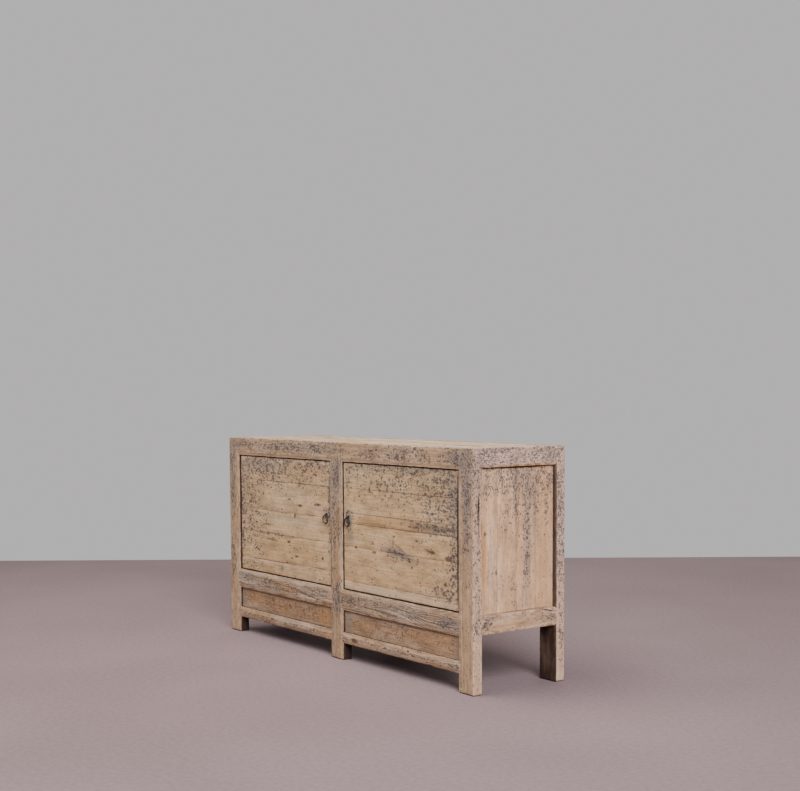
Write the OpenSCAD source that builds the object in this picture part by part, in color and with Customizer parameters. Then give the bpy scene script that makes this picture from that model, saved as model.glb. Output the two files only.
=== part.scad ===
// Low two-door sideboard of reclaimed softwood: a pegless frame of posts and rails with
// mitred shoulders, loose panels, plank doors on hidden pivot pins and iron ring pulls.
// Millimetres, +Z up, the front faces -Y, origin on the floor under the middle of the case.

/* [Case] */
// Overall width of the case
case_w = 1700; // [1400:10:2000]
// Depth of the case from its front face to its back face
case_d = 430; // [380:5:520]
// Overall height of the case
case_h = 860; // [800:5:960]
// Clear height between the floor and the bottom rails
foot_h = 67; // [50:1:90]

/* [Posts] */
// Width of each corner post across the front
post_w = 84; // [76:1:100]
// Thickness of the front posts, front to back
front_post_d = 42; // [40:1:48]
// Thickness of the rear posts, front to back
rear_post_d = 45; // [42:1:50]
// Width of the two centre posts
centre_post_w = 88; // [80:1:110]

/* [Rails] */
// Height of the front and rear top rails
top_rail_h = 76; // [68:1:90]
// Height of the top rails at the two ends
end_top_rail_h = 68; // [64:1:76]
// Width of the top frame's members, seen from above
top_frame_w = 60; // [57:1:80]
// Height of the two bottom rails on the front
bottom_rail_h = 46; // [42:1:60]
// Thickness of the two bottom rails
bottom_rail_t = 32; // [30:1:38]
// Height of the openings that hold the lower panels
lower_opening_h = 85; // [60:1:100]
// Height of the two middle rails, under the doors
middle_rail_h = 84; // [76:1:96]
// Height of the lower rails at the ends and the back
end_rail_h = 67; // [60:1:76]
// Thickness of the lower rails at the ends
end_rail_t = 34; // [32:1:40]
// How far the end rails' top edges lie below the middle rails' top edges
end_rail_drop = 6; // [0:1:12]

/* [Edge bevels] */
// Width of the shallow bevel around the front openings
bevel_w = 17; // [10:1:19]
// Depth of the front bevel at the opening
bevel_d = 3.5; // [1.5:0.5:5]
// Width of the bevel around the end panels
end_bevel_w = 6; // [3:1:10]
// Depth of the bevel at the end panels
end_bevel_d = 2.5; // [1:0.5:4]

/* [Frame joints] */
// Depth of the mitred shoulders that lap the posts
lap_d = 9; // [6:1:11]
// Distance from the case's face to a tenon
tenon_in = 14; // [13:1:15]
// Thickness of the tenons
tenon_t = 13; // [10:1:14]
// How much lower a tenon is than its rail, at the top and at the bottom
tenon_step = 9; // [8:1:12]
// Length of the blind tenons in the centre and rear posts
blind_l = 34; // [20:1:38]
// Length of the short tenons of the end rails
short_l = 12; // [6:1:12]
// Depth of the housings that hold bearers and battens
housing_d = 8; // [5:1:10]
// Depth of the grooves that hold panels and boards
groove_d = 8; // [5:1:10]

/* [Top corner joints] */
// Wood left above the corner posts' tenons in the long top rails
tenon_cover = 10; // [6:1:14]
// Width of the corner posts' tenons in the long top rails
post_tenon_w = 20; // [14:1:24]
// Distance from those tenons to the post's inner edge
post_tenon_edge = 14; // [12:1:20]
// Wood left above the small tenons in the end top rails
small_tenon_cover = 12; // [8:1:16]
// Width of the small tenons in the end top rails
small_tenon_w = 12; // [8:1:14]
// Thickness of the small tenons
small_tenon_t = 9; // [6:1:11]
// Distance from the end face to a small tenon
small_tenon_in = 8; // [6:1:10]
// Distance from a small tenon to the post's inner face
small_tenon_edge = 4; // [3:1:6]
// Distance from the end face to the long top rails' own tenons
rail_tenon_in = 24; // [22:1:30]
// Height of the long top rails' tenons
rail_tenon_h = 31; // [20:1:34]
// Wood left between those tenons and the top boards
rail_tenon_cover = 3; // [2:1:6]
// Distance from those tenons to the posts
rail_tenon_post_gap = 2; // [1:1:4]
// Distance from those tenons to the top frame's inner edge
rail_tenon_edge = 4; // [3:1:6]
// Wood left above the centre posts' tenons
centre_tenon_cover = 26; // [14:1:40]
// Distance from a centre post's edges to its tenon
centre_tenon_edge = 20; // [18:1:28]

/* [End joints] */
// Distance from the end faces to the end rails' tenons
end_tenon_in = 10; // [9:1:12]
// Thickness of the end rails' tenons
end_tenon_t = 12; // [8:1:13]

/* [Panels] */
// Thickness of the panel boards, lower panels, ends and back
panel_t = 12; // [9:1:13]
// How far the lower panels lie behind the front face
lower_panel_in = 11; // [9:1:14]
// How far the end panels lie inside the end faces
end_panel_in = 16; // [10:1:18]
// How far the back boards lie inside the back face
back_panel_in = 12; // [8:1:18]
// Number of upright boards in each end panel
end_boards_n = 4; // [3:1:6]
// Number of upright boards in each half of the back
back_boards_n = 5; // [3:1:8]
// Open joint between neighbouring loose boards
board_gap = 0.4; // [0.2:0.1:0.8]

/* [Top] */
// Thickness of the top boards
top_board_t = 18; // [15:1:22]
// Thickness of the tongue around the top boards
top_tongue_t = 8; // [5:1:10]
// Width of each batten under the top boards
batten_w = 36; // [24:1:50]
// Height of each batten under the top boards
batten_h = 26; // [18:1:28]
// Distance from the end of the case to the middle of a batten
batten_inset = 470; // [300:10:560]

/* [Floor and shelf] */
// Thickness of the floor boards and the shelf boards
floor_t = 16; // [12:1:20]
// Number of floor boards
floor_boards_n = 4; // [2:1:6]
// Width of each bearer under the floor
bearer_w = 30; // [20:1:40]
// Height of each bearer under the floor
bearer_h = 34; // [24:1:40]
// Clear height between the floor boards and the shelf boards
lower_space_h = 240; // [180:5:280]
// Number of shelf boards
shelf_boards_n = 3; // [2:1:4]
// Distance from the case's front face to the shelf's front edge
shelf_front = 75; // [60:1:160]
// Width of each shelf bearer
shelf_bearer_w = 22; // [16:1:30]
// Height of each shelf bearer
shelf_bearer_h = 30; // [20:1:40]

/* [Doors] */
// Thickness of the door boards
door_t = 24; // [20:1:26]
// How far the doors' faces lie behind the front face
door_in = 7; // [5:1:9]
// Open gap around each door
door_gap = 4; // [3:0.5:6]
// Thickness of the tongues between the door boards
door_tongue_t = 7; // [5:1:8]
// Length of the tongues between the door boards
door_tongue_l = 6; // [4:1:8]
// Width of the upright ledges on the back of a door
ledge_w = 50; // [35:1:70]
// Thickness of the ledges
ledge_t = 20; // [14:1:24]
// Depth that the ledges are let into the boards
ledge_in = 4; // [2:1:6]
// Distance from a door's edge to a ledge
ledge_inset = 46; // [40:1:120]
// How far the ledges end short of the door's top and bottom
ledge_short = 26; // [10:1:40]
// Width of the stop beside each door's closing edge
stop_w = 14; // [10:1:16]
// Thickness of the stop, front to back
stop_d = 18; // [14:1:22]
// How far the stops end short of the rails
stop_short = 20; // [5:1:60]

/* [Pivot pins] */
// Diameter of the pivot pins
pin_dia = 8; // [6:0.5:10]
// Distance from a pin's axis to the door's face and to its hinge edge
pin_inset = 8; // [7:0.5:9]
// Length of a pin inside the door
pin_in_door = 28; // [15:1:30]
// Length of a pin inside its rail
pin_in_rail = 12; // [8:1:20]
// Radial clearance of a pin in its rail
pin_clear = 0.1; // [0.05:0.01:0.1]
// Clearance between a part and its stop or seat
seat_gap = 0.3; // [0.2:0.05:0.4]

/* [Ring pulls] */
// Outer diameter of a ring
ring_dia = 38; // [30:1:46]
// Diameter of the ring's wire
wire_dia = 4.5; // [3:0.1:6]
// Radial clearance of the wire in the eye
eye_clear = 0.35; // [0.3:0.05:0.6]
// Distance from the door's face to the middle of the eye
eye_stand = 6.5; // [6.5:0.1:8]
// Thickness of the strap that forms the eye and its legs
strap_t = 2; // [1.5:0.1:2.2]
// Width of the strap
strap_w = 4; // [3:0.1:5]
// Length of each leg's bent end behind the door
leg_end_l = 16; // [10:1:24]
// Diameter of the washer under the eye
washer_dia = 18; // [14:1:24]
// Thickness of the washer
washer_t = 1.2; // [0.8:0.1:1.2]
// Distance from a door's closing edge to the middle of its pull
pull_inset = 29; // [24:1:32]
// Height of the eye above the middle of the doors
pull_above_mid = 33; // [20:1:40]
// Distance from the eye down to the seam below it, in the left door
left_seam_drop = 10; // [9:1:16]
// Distance from the eye down to the seam below it, in the right door
right_seam_drop = 21; // [12:1:30]

/* [Hidden] */
$fn = 64;

// The two doors and the two ends, as the mirror turns them
left = 0;
right = 1;

// Board widths of each door from the bottom up: three share the height below the seam under
// the eye, and two the height above it
left_widths = [57, 114, 99, 124, 100];
right_widths = [34, 135, 90, 137, 98];
boards_below = 3;
top_boards_n = 4;

// Levels of the front frame, each as [bottom, top]
bottom_rail_z = [foot_h, foot_h + bottom_rail_h];
lower_opening_z = [bottom_rail_z[1], bottom_rail_z[1] + lower_opening_h];
middle_rail_z = [lower_opening_z[1], lower_opening_z[1] + middle_rail_h];
door_opening_z = [middle_rail_z[1], case_h - top_rail_h];
end_rail_top = middle_rail_z[1] - end_rail_drop;
end_rail_z = [end_rail_top - end_rail_h, end_rail_top];
top_rail_z = [case_h - top_rail_h, case_h];
end_top_rail_z = [case_h - end_top_rail_h, case_h];

// Places across the case, measured from its left end
centre_u = [case_w / 2 - centre_post_w / 2, case_w / 2 + centre_post_w / 2];
bay_u = [post_w, centre_u[0]];
tenon_v = [tenon_in, tenon_in + tenon_t];
rear_face_v = case_d - rear_post_d;

// Doors, as the left one lies
door_u = [bay_u[0] + door_gap, bay_u[1] - door_gap];
door_v = [door_in, door_in + door_t];
door_z = [door_opening_z[0] + door_gap, door_opening_z[1] - door_gap];
pin_u = door_u[0] + pin_inset;
pin_v = door_v[0] + pin_inset;
pin_r = pin_dia / 2;

// Floor and shelf levels
floor_z = [end_rail_top - floor_t, end_rail_top];
shelf_z = [floor_z[1] + lower_space_h, floor_z[1] + lower_space_h + floor_t];
end_panel_u = [end_panel_in, end_panel_in + panel_t];

// Pulls, as the left one lies
pull_u = door_u[1] - pull_inset;
pull_z = (door_z[0] + door_z[1]) / 2 + pull_above_mid;
seam_drop = [left_seam_drop, right_seam_drop];
wire_r = wire_dia / 2;
ring_r = ring_dia / 2 - wire_r;
eye_r = wire_r + eye_clear;
eye_out_r = eye_r + strap_t;
eye_v = door_v[0] - eye_stand;

// The eyes stand proud of the case, and the origin lies under the middle of the whole depth
proud = max(0, eye_out_r - eye_v);
front_y = -case_d / 2 + proud / 2;

frame_tan = "#c9b48f";
end_pink = "#cdb9a4";
top_pale = "#d6cab2";
door_tan = "#cdbb95";
panel_ochre = "#b8935f";
inner_brown = "#8a6f52";
iron_dark = "#3a3734";

// Placing: u runs from the left end, v from the front face
module in_case(side = left) {
    mirror([side, 0, 0]) translate([-case_w / 2, front_y, 0]) children();
}

// A block between two limits on each axis
module block(u, v, z) {
    translate([u[0], v[0], z[0]])
        cube([u[1] - u[0], v[1] - v[0], z[1] - z[0]]);
}

// Prisms along u, v and z; the outline's points are [v, z], [u, z] and [u, v]
module prism_u(points, u) {
    translate([u[0], 0, 0]) rotate([90, 0, 90]) linear_extrude(u[1] - u[0]) polygon(points);
}
module prism_v(points, v) {
    translate([0, v[1], 0]) rotate([90, 0, 0]) linear_extrude(v[1] - v[0]) polygon(points);
}
module prism_z(points, z) {
    translate([0, 0, z[0]]) linear_extrude(z[1] - z[0]) polygon(points);
}

// Outline of a bevel that falls from the face to depth d at an edge; way is 1 or -1
function bevel(edge, way, w, d) = [
    [-1, edge - way * w], [0, edge - way * w], [d, edge], [d, edge + way], [-1, edge + way]
];
function swapped(points) = [for (p = points) [p[1], p[0]]];

// Outline of a shoulder that laps a post's bevel, with its two corners mitred
function shoulder(edge, way, s, z) = [
    [edge, z[0]], [edge + way * s, z[0] + s], [edge + way * s, z[1] - s], [edge, z[1]]
];

// Boards side by side between two limits: the limits of board i
function share(limits, n, i) =
    let (w = (limits[1] - limits[0] - (n - 1) * board_gap) / n)
    [limits[0] + i * (w + board_gap), limits[0] + i * (w + board_gap) + w];
function sum(list, i = 0) = i < len(list) ? list[i] + sum(list, i + 1) : 0;
function head(list, n) = [for (i = [0:1:n - 1]) list[i]];

// Top frame: the post keeps what lies below each mitre
module long_top_rail_body(post_d) {
    difference() {
        prism_z([[0, 0], [case_w, 0], [case_w - top_frame_w, top_frame_w],
            [top_frame_w, top_frame_w]], top_rail_z);
        for (side = [0, 1])
            translate([side * case_w, 0, 0]) mirror([side, 0, 0])
                prism_v([[0, case_h], [post_w, top_rail_z[0]], [0, top_rail_z[0]]], [0, post_d]);
    }
}
module end_top_rail_body() {
    difference() {
        prism_z([[0, 0], [top_frame_w, top_frame_w], [top_frame_w, case_d - top_frame_w],
            [0, case_d]], end_top_rail_z);
        end_mitre(front_post_d);
        rear_corner() end_mitre(rear_post_d);
    }
}
module end_mitre(post_d) {
    prism_u([[0, case_h], [post_d, end_top_rail_z[0]], [0, end_top_rail_z[0]]], [0, top_frame_w]);
}

// Tenons at the top corners: post into the long rail, post into the end rail, and long
// rail into the end rail behind the post
module post_tenon_long() {
    u = post_w - post_tenon_edge - post_tenon_w;
    block([u, u + post_tenon_w], tenon_v, [top_rail_z[0], case_h - tenon_cover]);
}
module post_tenon_end(post_d) {
    v = post_d - small_tenon_edge - small_tenon_t;
    block([small_tenon_in, small_tenon_in + small_tenon_w], [v, v + small_tenon_t],
        [end_top_rail_z[0], case_h - small_tenon_cover]);
}
module long_rail_tenon(post_d) {
    z = case_h - top_board_t - rail_tenon_cover;
    block([rail_tenon_in, top_frame_w],
        [post_d + rail_tenon_post_gap, top_frame_w - rail_tenon_edge], [z - rail_tenon_h, z]);
}

// Spaces of the pieces that the frame holds, which the frame is cut with
module front_shoulders(u_edge, way) {
    for (z = [bottom_rail_z, middle_rail_z])
        prism_v(shoulder(u_edge, way, bevel_w, z), [-1, lap_d]);
}
module bay_tenon(z, u) {
    block(u, tenon_v, [z[0] + tenon_step, z[1] - tenon_step]);
}
module end_tenon() {
    block([end_tenon_in, end_tenon_in + end_tenon_t], [front_post_d - short_l, rear_face_v + short_l],
        [end_rail_z[0] + tenon_step, end_rail_z[1] - tenon_step - groove_d]);
}
module rear_tenon() {
    block([bay_u[0] - blind_l, bay_u[1] + blind_l], [case_d - tenon_in - tenon_t, case_d - tenon_in],
        [end_rail_z[0] + tenon_step, end_rail_z[1] - tenon_step - groove_d]);
}
module lower_panel_space() {
    block([bay_u[0] - groove_d, bay_u[1] + groove_d], [lower_panel_in, lower_panel_in + panel_t],
        [lower_opening_z[0] - groove_d, lower_opening_z[1] + groove_d]);
}
module end_panel_space() {
    block(end_panel_u, [front_post_d - groove_d, rear_face_v + groove_d],
        [end_rail_z[1] - groove_d, end_top_rail_z[0] + groove_d]);
}
module back_panel_space() {
    block([bay_u[0] - groove_d, bay_u[1] + groove_d],
        [case_d - back_panel_in - panel_t, case_d - back_panel_in],
        [end_rail_z[1] - groove_d, top_rail_z[0] + groove_d]);
}
module top_tongue_space() {
    block([top_frame_w - groove_d, case_w - top_frame_w + groove_d],
        [top_frame_w - groove_d, case_d - top_frame_w + groove_d],
        [case_h - top_board_t, case_h - top_board_t + top_tongue_t]);
}
module pin_socket(z) {
    translate([pin_u, pin_v, z[0]]) cylinder(h = z[1] - z[0], r = pin_r + pin_clear);
}
module centre_tenon(post_v) {
    block([centre_u[0] + centre_tenon_edge, centre_u[1] - centre_tenon_edge], post_v,
        [top_rail_z[0], case_h - centre_tenon_cover]);
}

// Corner posts
module corner_tenons(post_d) {
    post_tenon_long();
    post_tenon_end(post_d);
}
// A corner post's body rises to its mitre with the long top rail, and on the end face only
// to its mitre with the end top rail
module post_body(post_d) {
    difference() {
        prism_v([[0, 0], [post_w, 0], [post_w, top_rail_z[0]], [0, case_h]], [0, post_d]);
        intersection() {
            prism_z([[-1, 0], [0, 0], [post_d + 1, post_d + 1], [-1, post_d + 1]],
                [end_top_rail_z[0], case_h + 1]);
            prism_u([[0, case_h], [post_d, end_top_rail_z[0]], [post_d + 1, end_top_rail_z[0]],
                [post_d + 1, case_h + 1], [0, case_h + 1]], [-1, post_w]);
        }
    }
}
module post_front(side) {
    color(frame_tan) in_case(side) difference() {
        union() {
            post_body(front_post_d);
            corner_tenons(front_post_d);
        }
        prism_z(swapped(bevel(post_w, 1, bevel_w, bevel_d)), [-1, case_h]);
        prism_z(bevel(front_post_d, 1, end_bevel_w, end_bevel_d), [-1, case_h]);
        front_shoulders(post_w, -1);
        end_shoulders();
        bay_tenon(middle_rail_z, [-1, bay_u[0] + 1]);
        bay_tenon(bottom_rail_z, [bay_u[0] - blind_l, bay_u[0] + 1]);
        end_tenon();
        lower_panel_space();
        end_panel_space();
        floor_bearer(0);
        shelf_bearer(0);
    }
}
module post_rear(side) {
    color(frame_tan) in_case(side) difference() {
        rear_corner() {
            post_body(rear_post_d);
            corner_tenons(rear_post_d);
        }
        rear_corner() prism_z(bevel(rear_post_d, 1, end_bevel_w, end_bevel_d), [-1, case_h]);
        end_shoulders();
        end_tenon();
        rear_tenon();
        end_panel_space();
        back_panel_space();
        floor_bearer(0);
        shelf_bearer(0);
    }
}
module rear_corner() {
    translate([0, case_d, 0]) mirror([0, 1, 0]) children();
}

// Centre posts
module post_front_centre() {
    color(frame_tan) in_case() difference() {
        union() {
            block(centre_u, [0, front_post_d], [0, top_rail_z[0]]);
            centre_shoulder();
            centre_tenon(tenon_v);
        }
        for (edge = [[centre_u[0], -1], [centre_u[1], 1]])
            prism_z(swapped(bevel(edge[0], edge[1], bevel_w, bevel_d)), [-1, case_h]);
        for (side = [0, 1])
            translate([side * case_w, 0, 0]) mirror([side, 0, 0]) {
                front_shoulders(centre_u[0], 1);
                for (z = [bottom_rail_z, middle_rail_z])
                    bay_tenon(z, [bay_u[1] - 1, bay_u[1] + blind_l]);
                lower_panel_space();
            }
        floor_bearer(2);
        shelf_bearer(1);
    }
}
module centre_shoulder() {
    prism_v([[centre_u[0], top_rail_z[0]], [centre_u[0] + bevel_w, top_rail_z[0] + bevel_w],
        [centre_u[1] - bevel_w, top_rail_z[0] + bevel_w], [centre_u[1], top_rail_z[0]]], [0, lap_d]);
}
module post_rear_centre() {
    color(frame_tan) in_case() difference() {
        union() {
            block(centre_u, [rear_face_v, case_d], [0, top_rail_z[0]]);
            centre_tenon([case_d - tenon_in - tenon_t, case_d - tenon_in]);
        }
        for (side = [0, 1])
            translate([side * case_w, 0, 0]) mirror([side, 0, 0]) {
                rear_tenon();
                back_panel_space();
            }
        floor_bearer(2);
        shelf_bearer(1);
    }
}

// Rails of the top frame
module top_rail_front() {
    color(frame_tan) in_case() difference() {
        union() {
            long_top_rail_body(front_post_d);
            both_ends() long_rail_tenon(front_post_d);
        }
        prism_u(bevel(top_rail_z[0], -1, bevel_w, bevel_d), [-1, case_w + 1]);
        both_ends() post_tenon_long();
        both_ends() pin_socket([top_rail_z[0] - 1, top_rail_z[0] + pin_in_rail + seat_gap]);
        centre_shoulder();
        centre_tenon(tenon_v);
        top_tongue_space();
        top_batten_pair();
    }
}
module top_rail_rear() {
    color(frame_tan) in_case() difference() {
        union() {
            rear_corner() long_top_rail_body(rear_post_d);
            rear_corner() both_ends() long_rail_tenon(rear_post_d);
        }
        rear_corner() both_ends() post_tenon_long();
        centre_tenon([case_d - tenon_in - tenon_t, case_d - tenon_in]);
        both_ends() back_panel_space();
        top_tongue_space();
        top_batten_pair();
    }
}
module both_ends() {
    children();
    translate([case_w, 0, 0]) mirror([1, 0, 0]) children();
}
module top_rail_end(side) {
    color(end_pink) in_case(side) difference() {
        end_top_rail_body();
        prism_v(bevel(end_top_rail_z[0], -1, end_bevel_w, end_bevel_d), [-1, case_d + 1]);
        post_tenon_end(front_post_d);
        long_rail_tenon(front_post_d);
        rear_corner() post_tenon_end(rear_post_d);
        rear_corner() long_rail_tenon(rear_post_d);
        end_panel_space();
        top_tongue_space();
    }
}

// Top boards: loose boards tongued into the frame, over two battens
module top_board(i) {
    v = share([top_frame_w, case_d - top_frame_w], top_boards_n, i - 1);
    tongue_v = [v[0] - (i == 1 ? groove_d : 0), v[1] + (i == top_boards_n ? groove_d : 0)];
    z = case_h - top_board_t;
    color(top_pale) in_case() union() {
        block([top_frame_w, case_w - top_frame_w], v, [z, case_h]);
        block([top_frame_w - groove_d, case_w - top_frame_w + groove_d], tongue_v,
            [z, z + top_tongue_t]);
    }
}
module top_batten_pair() {
    both_ends()
        block([batten_inset - batten_w / 2, batten_inset + batten_w / 2],
            [top_frame_w - housing_d, case_d - top_frame_w + housing_d],
            [case_h - top_board_t - batten_h, case_h - top_board_t]);
}
module top_battens() {
    color(inner_brown) in_case() top_batten_pair();
}

// Front rails: mitred shoulders lap the posts' bevels
module bay_rail(side, z, t, outer_u) {
    color(frame_tan) in_case(side) difference() {
        union() {
            block(bay_u, [0, t], z);
            prism_v(shoulder(bay_u[0], -1, bevel_w, z), [0, lap_d]);
            prism_v(shoulder(bay_u[1], 1, bevel_w, z), [0, lap_d]);
            bay_tenon(z, [outer_u, bay_u[1] + blind_l]);
        }
        for (edge = [[z[0], -1], [z[1], 1]])
            prism_u(bevel(edge[0], edge[1], bevel_w, bevel_d), [0, case_w / 2]);
        lower_panel_space();
        pin_socket([middle_rail_z[1] - pin_in_rail - seat_gap, middle_rail_z[1] + 1]);
        floor_bearer(1);
    }
}
module middle_rail(side) {
    bay_rail(side, middle_rail_z, front_post_d, 0);
}
module bottom_rail(side) {
    bay_rail(side, bottom_rail_z, bottom_rail_t, bay_u[0] - blind_l);
}
module lower_panel(side) {
    color(panel_ochre) in_case(side) lower_panel_space();
}

// Ends and back
module end_shoulders() {
    end_shoulder(front_post_d);
    rear_corner() end_shoulder(rear_post_d);
}
module end_shoulder(post_d) {
    prism_u(shoulder(post_d, -1, end_bevel_w, end_rail_z), [-1, lap_d]);
}
module end_rail(side) {
    color(end_pink) in_case(side) difference() {
        union() {
            block([0, end_rail_t], [front_post_d, rear_face_v], end_rail_z);
            intersection() {
                end_shoulders();
                block([0, lap_d], [0, case_d], end_rail_z);
            }
            end_tenon();
        }
        for (edge = [[end_rail_z[0], -1], [end_rail_z[1], 1]])
            prism_v(bevel(edge[0], edge[1], end_bevel_w, end_bevel_d), [0, case_d]);
        end_panel_space();
    }
}
module end_boards(side) {
    limits = [front_post_d - groove_d, rear_face_v + groove_d];
    color(end_pink) in_case(side)
        for (i = [0:1:end_boards_n - 1])
            block(end_panel_u, share(limits, end_boards_n, i),
                [end_rail_z[1] - groove_d, end_top_rail_z[0] + groove_d]);
}
module rear_rail(side) {
    color(frame_tan) in_case(side) difference() {
        union() {
            block(bay_u, [rear_face_v, case_d], end_rail_z);
            rear_tenon();
        }
        back_panel_space();
        floor_bearer(1);
    }
}
module back_boards(side) {
    limits = [bay_u[0] - groove_d, bay_u[1] + groove_d];
    color(inner_brown) in_case(side)
        for (i = [0:1:back_boards_n - 1])
            block(share(limits, back_boards_n, i),
                [case_d - back_panel_in - panel_t, case_d - back_panel_in],
                [end_rail_z[1] - groove_d, top_rail_z[0] + groove_d]);
}

// Floor: bearer 0 stands at the end rail, 1 under the middle of a bay, 2 between the
// centre posts
module floor_bearer(place) {
    u = [end_rail_t + bearer_w / 2, (bay_u[0] + bay_u[1]) / 2, case_w / 2][place];
    block([u - bearer_w / 2, u + bearer_w / 2],
        [front_post_d - housing_d, rear_face_v + housing_d], [floor_z[0] - bearer_h, floor_z[0]]);
}
module floor_bearers() {
    color(inner_brown) in_case() {
        both_ends() floor_bearer(0);
        both_ends() floor_bearer(1);
        floor_bearer(2);
    }
}
module floor_boards() {
    color(inner_brown) in_case()
        for (i = [0:1:floor_boards_n - 1])
            block([end_rail_t, case_w - end_rail_t],
                share([front_post_d, rear_face_v], floor_boards_n, i), floor_z);
}

// Shelf: bearer 0 lies along the end boards, 1 between the centre posts
module shelf_bearer(place) {
    u = [end_panel_u[1] + shelf_bearer_w / 2, case_w / 2][place];
    block([u - shelf_bearer_w / 2, u + shelf_bearer_w / 2],
        [front_post_d - housing_d, rear_face_v + housing_d], [shelf_z[0] - shelf_bearer_h, shelf_z[0]]);
}
module shelf_bearers() {
    color(inner_brown) in_case() {
        both_ends() shelf_bearer(0);
        shelf_bearer(1);
    }
}
module shelf_boards() {
    color(inner_brown) in_case()
        for (i = [0:1:shelf_boards_n - 1])
            block([end_panel_u[1], case_w - end_panel_u[1]],
                share([shelf_front, rear_face_v], shelf_boards_n, i), shelf_z);
}

// Doors: level boards, tongued together, with two ledges let into their backs
module door_stops() {
    color(inner_brown) in_case() both_ends()
        block([centre_u[0] - stop_w, centre_u[0]],
            [door_v[1] + seat_gap, door_v[1] + seat_gap + stop_d],
            [door_opening_z[0] + stop_short, door_opening_z[1] - stop_short]);
}
module ledge_at(u) {
    block([u, u + ledge_w], [door_v[1] - ledge_in, door_v[1] - ledge_in + ledge_t],
        [door_z[0] + ledge_short, door_z[1] - ledge_short]);
}
module hinge_ledge() {
    ledge_at(door_u[0] + ledge_inset);
}
module pull_ledge() {
    ledge_at(door_u[1] - ledge_inset - ledge_w);
}
module door_pin_pair() {
    for (z = [[door_z[1] - pin_in_door, door_opening_z[1] + pin_in_rail],
        [door_opening_z[0] - pin_in_rail, door_z[0] + pin_in_door]])
        translate([pin_u, pin_v, z[0]]) cylinder(h = z[1] - z[0], r = pin_r);
}
function seam_z(widths, drop, i) =
    let (mid = pull_z - drop, low = sum(head(widths, boards_below)), here = sum(head(widths, i)))
    i <= boards_below
        ? door_z[0] + (mid - door_z[0]) * here / low
        : mid + (door_z[1] - mid) * (here - low) / (sum(widths) - low);
module door_board(side, widths, i) {
    z = [seam_z(widths, seam_drop[side], i - 1), seam_z(widths, seam_drop[side], i)];
    tongue_v = (door_v[0] + door_v[1] - door_tongue_t) / 2;
    color(door_tan) in_case(side) difference() {
        union() {
            translate([0, 0, z[0]]) linear_extrude(z[1] - z[0]) door_outline();
            if (i < len(widths))
                block([door_u[0] + pin_inset, door_u[1]], [tongue_v, tongue_v + door_tongue_t],
                    [z[1], z[1] + door_tongue_l]);
        }
        if (i > 1)
            block([door_u[0] + pin_inset, door_u[1] + 1], [tongue_v, tongue_v + door_tongue_t],
                [z[0] - 1, z[0] + door_tongue_l]);
        hinge_ledge();
        pull_ledge();
        door_pin_pair();
        eye_legs();
    }
}
// Plan of a door: its hinge edge is round about the pin, so it turns clear of the post
module door_outline() {
    translate([door_u[0] + pin_inset, door_v[0]])
        square([door_u[1] - door_u[0] - pin_inset, door_t]);
    translate([door_u[0], pin_v]) square([pin_inset, door_t - pin_inset]);
    translate([pin_u, pin_v]) circle(r = pin_inset);
}
module door_ledge_hinge(side) {
    color(inner_brown) in_case(side) hinge_ledge();
}
module door_ledge_pull(side) {
    color(inner_brown) in_case(side) pull_ledge();
}
module door_pins(side) {
    color(iron_dark) in_case(side) door_pin_pair();
}

// Ring pulls: a strap folded round the ring's wire, its legs bent over behind the door
module eye_legs() {
    block([pull_u - strap_w / 2, pull_u + strap_w / 2], [eye_v + eye_r, door_v[1]],
        [pull_z - strap_t, pull_z + strap_t]);
}
module pull_eye(side) {
    color(iron_dark) in_case(side) difference() {
        union() {
            translate([pull_u - strap_w / 2, eye_v, pull_z]) rotate([0, 90, 0])
                cylinder(h = strap_w, r = eye_out_r);
            eye_legs();
            block([pull_u - strap_w / 2, pull_u + strap_w / 2], [door_v[1], door_v[1] + strap_t],
                [pull_z - leg_end_l, pull_z + leg_end_l]);
        }
        translate([pull_u - strap_w / 2 - 1, eye_v, pull_z]) rotate([0, 90, 0])
            cylinder(h = strap_w + 2, r = eye_r);
    }
}
module pull_washer(side) {
    color(iron_dark) in_case(side) difference() {
        translate([pull_u, door_v[0], pull_z]) rotate([90, 0, 0])
            cylinder(h = washer_t, r = washer_dia / 2);
        block([pull_u - strap_w / 2, pull_u + strap_w / 2], [door_v[0] - washer_t - 1, door_v[0] + 1],
            [pull_z - strap_t, pull_z + strap_t]);
    }
}
module pull_ring(side) {
    color(iron_dark) in_case(side)
        translate([pull_u, eye_v, pull_z - ring_r]) rotate([90, 0, 0])
            rotate_extrude() translate([ring_r, 0]) circle(r = wire_r, $fn = 24);
}

post_front(left);  // post_front_left
post_front(right);  // post_front_right
post_front_centre();
post_rear(left);  // post_rear_left
post_rear(right);  // post_rear_right
post_rear_centre();
top_rail_front();
top_rail_rear();
top_rail_end(left);  // top_rail_left
top_rail_end(right);  // top_rail_right
top_board(1);  // top_board_1
top_board(2);  // top_board_2
top_board(3);  // top_board_3
top_board(4);  // top_board_4
top_battens();
middle_rail(left);  // middle_rail_left
middle_rail(right);  // middle_rail_right
bottom_rail(left);  // bottom_rail_left
bottom_rail(right);  // bottom_rail_right
lower_panel(left);  // lower_panel_left
lower_panel(right);  // lower_panel_right
end_rail(left);  // end_rail_left
end_rail(right);  // end_rail_right
end_boards(left);  // end_boards_left
end_boards(right);  // end_boards_right
rear_rail(left);  // rear_rail_left
rear_rail(right);  // rear_rail_right
back_boards(left);  // back_boards_left
back_boards(right);  // back_boards_right
floor_bearers();
floor_boards();
shelf_bearers();
shelf_boards();
door_stops();
door_board(left, left_widths, 1);  // left_door_board_1
door_board(left, left_widths, 2);  // left_door_board_2
door_board(left, left_widths, 3);  // left_door_board_3
door_board(left, left_widths, 4);  // left_door_board_4
door_board(left, left_widths, 5);  // left_door_board_5
door_ledge_hinge(left);  // left_door_ledge_hinge
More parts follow.
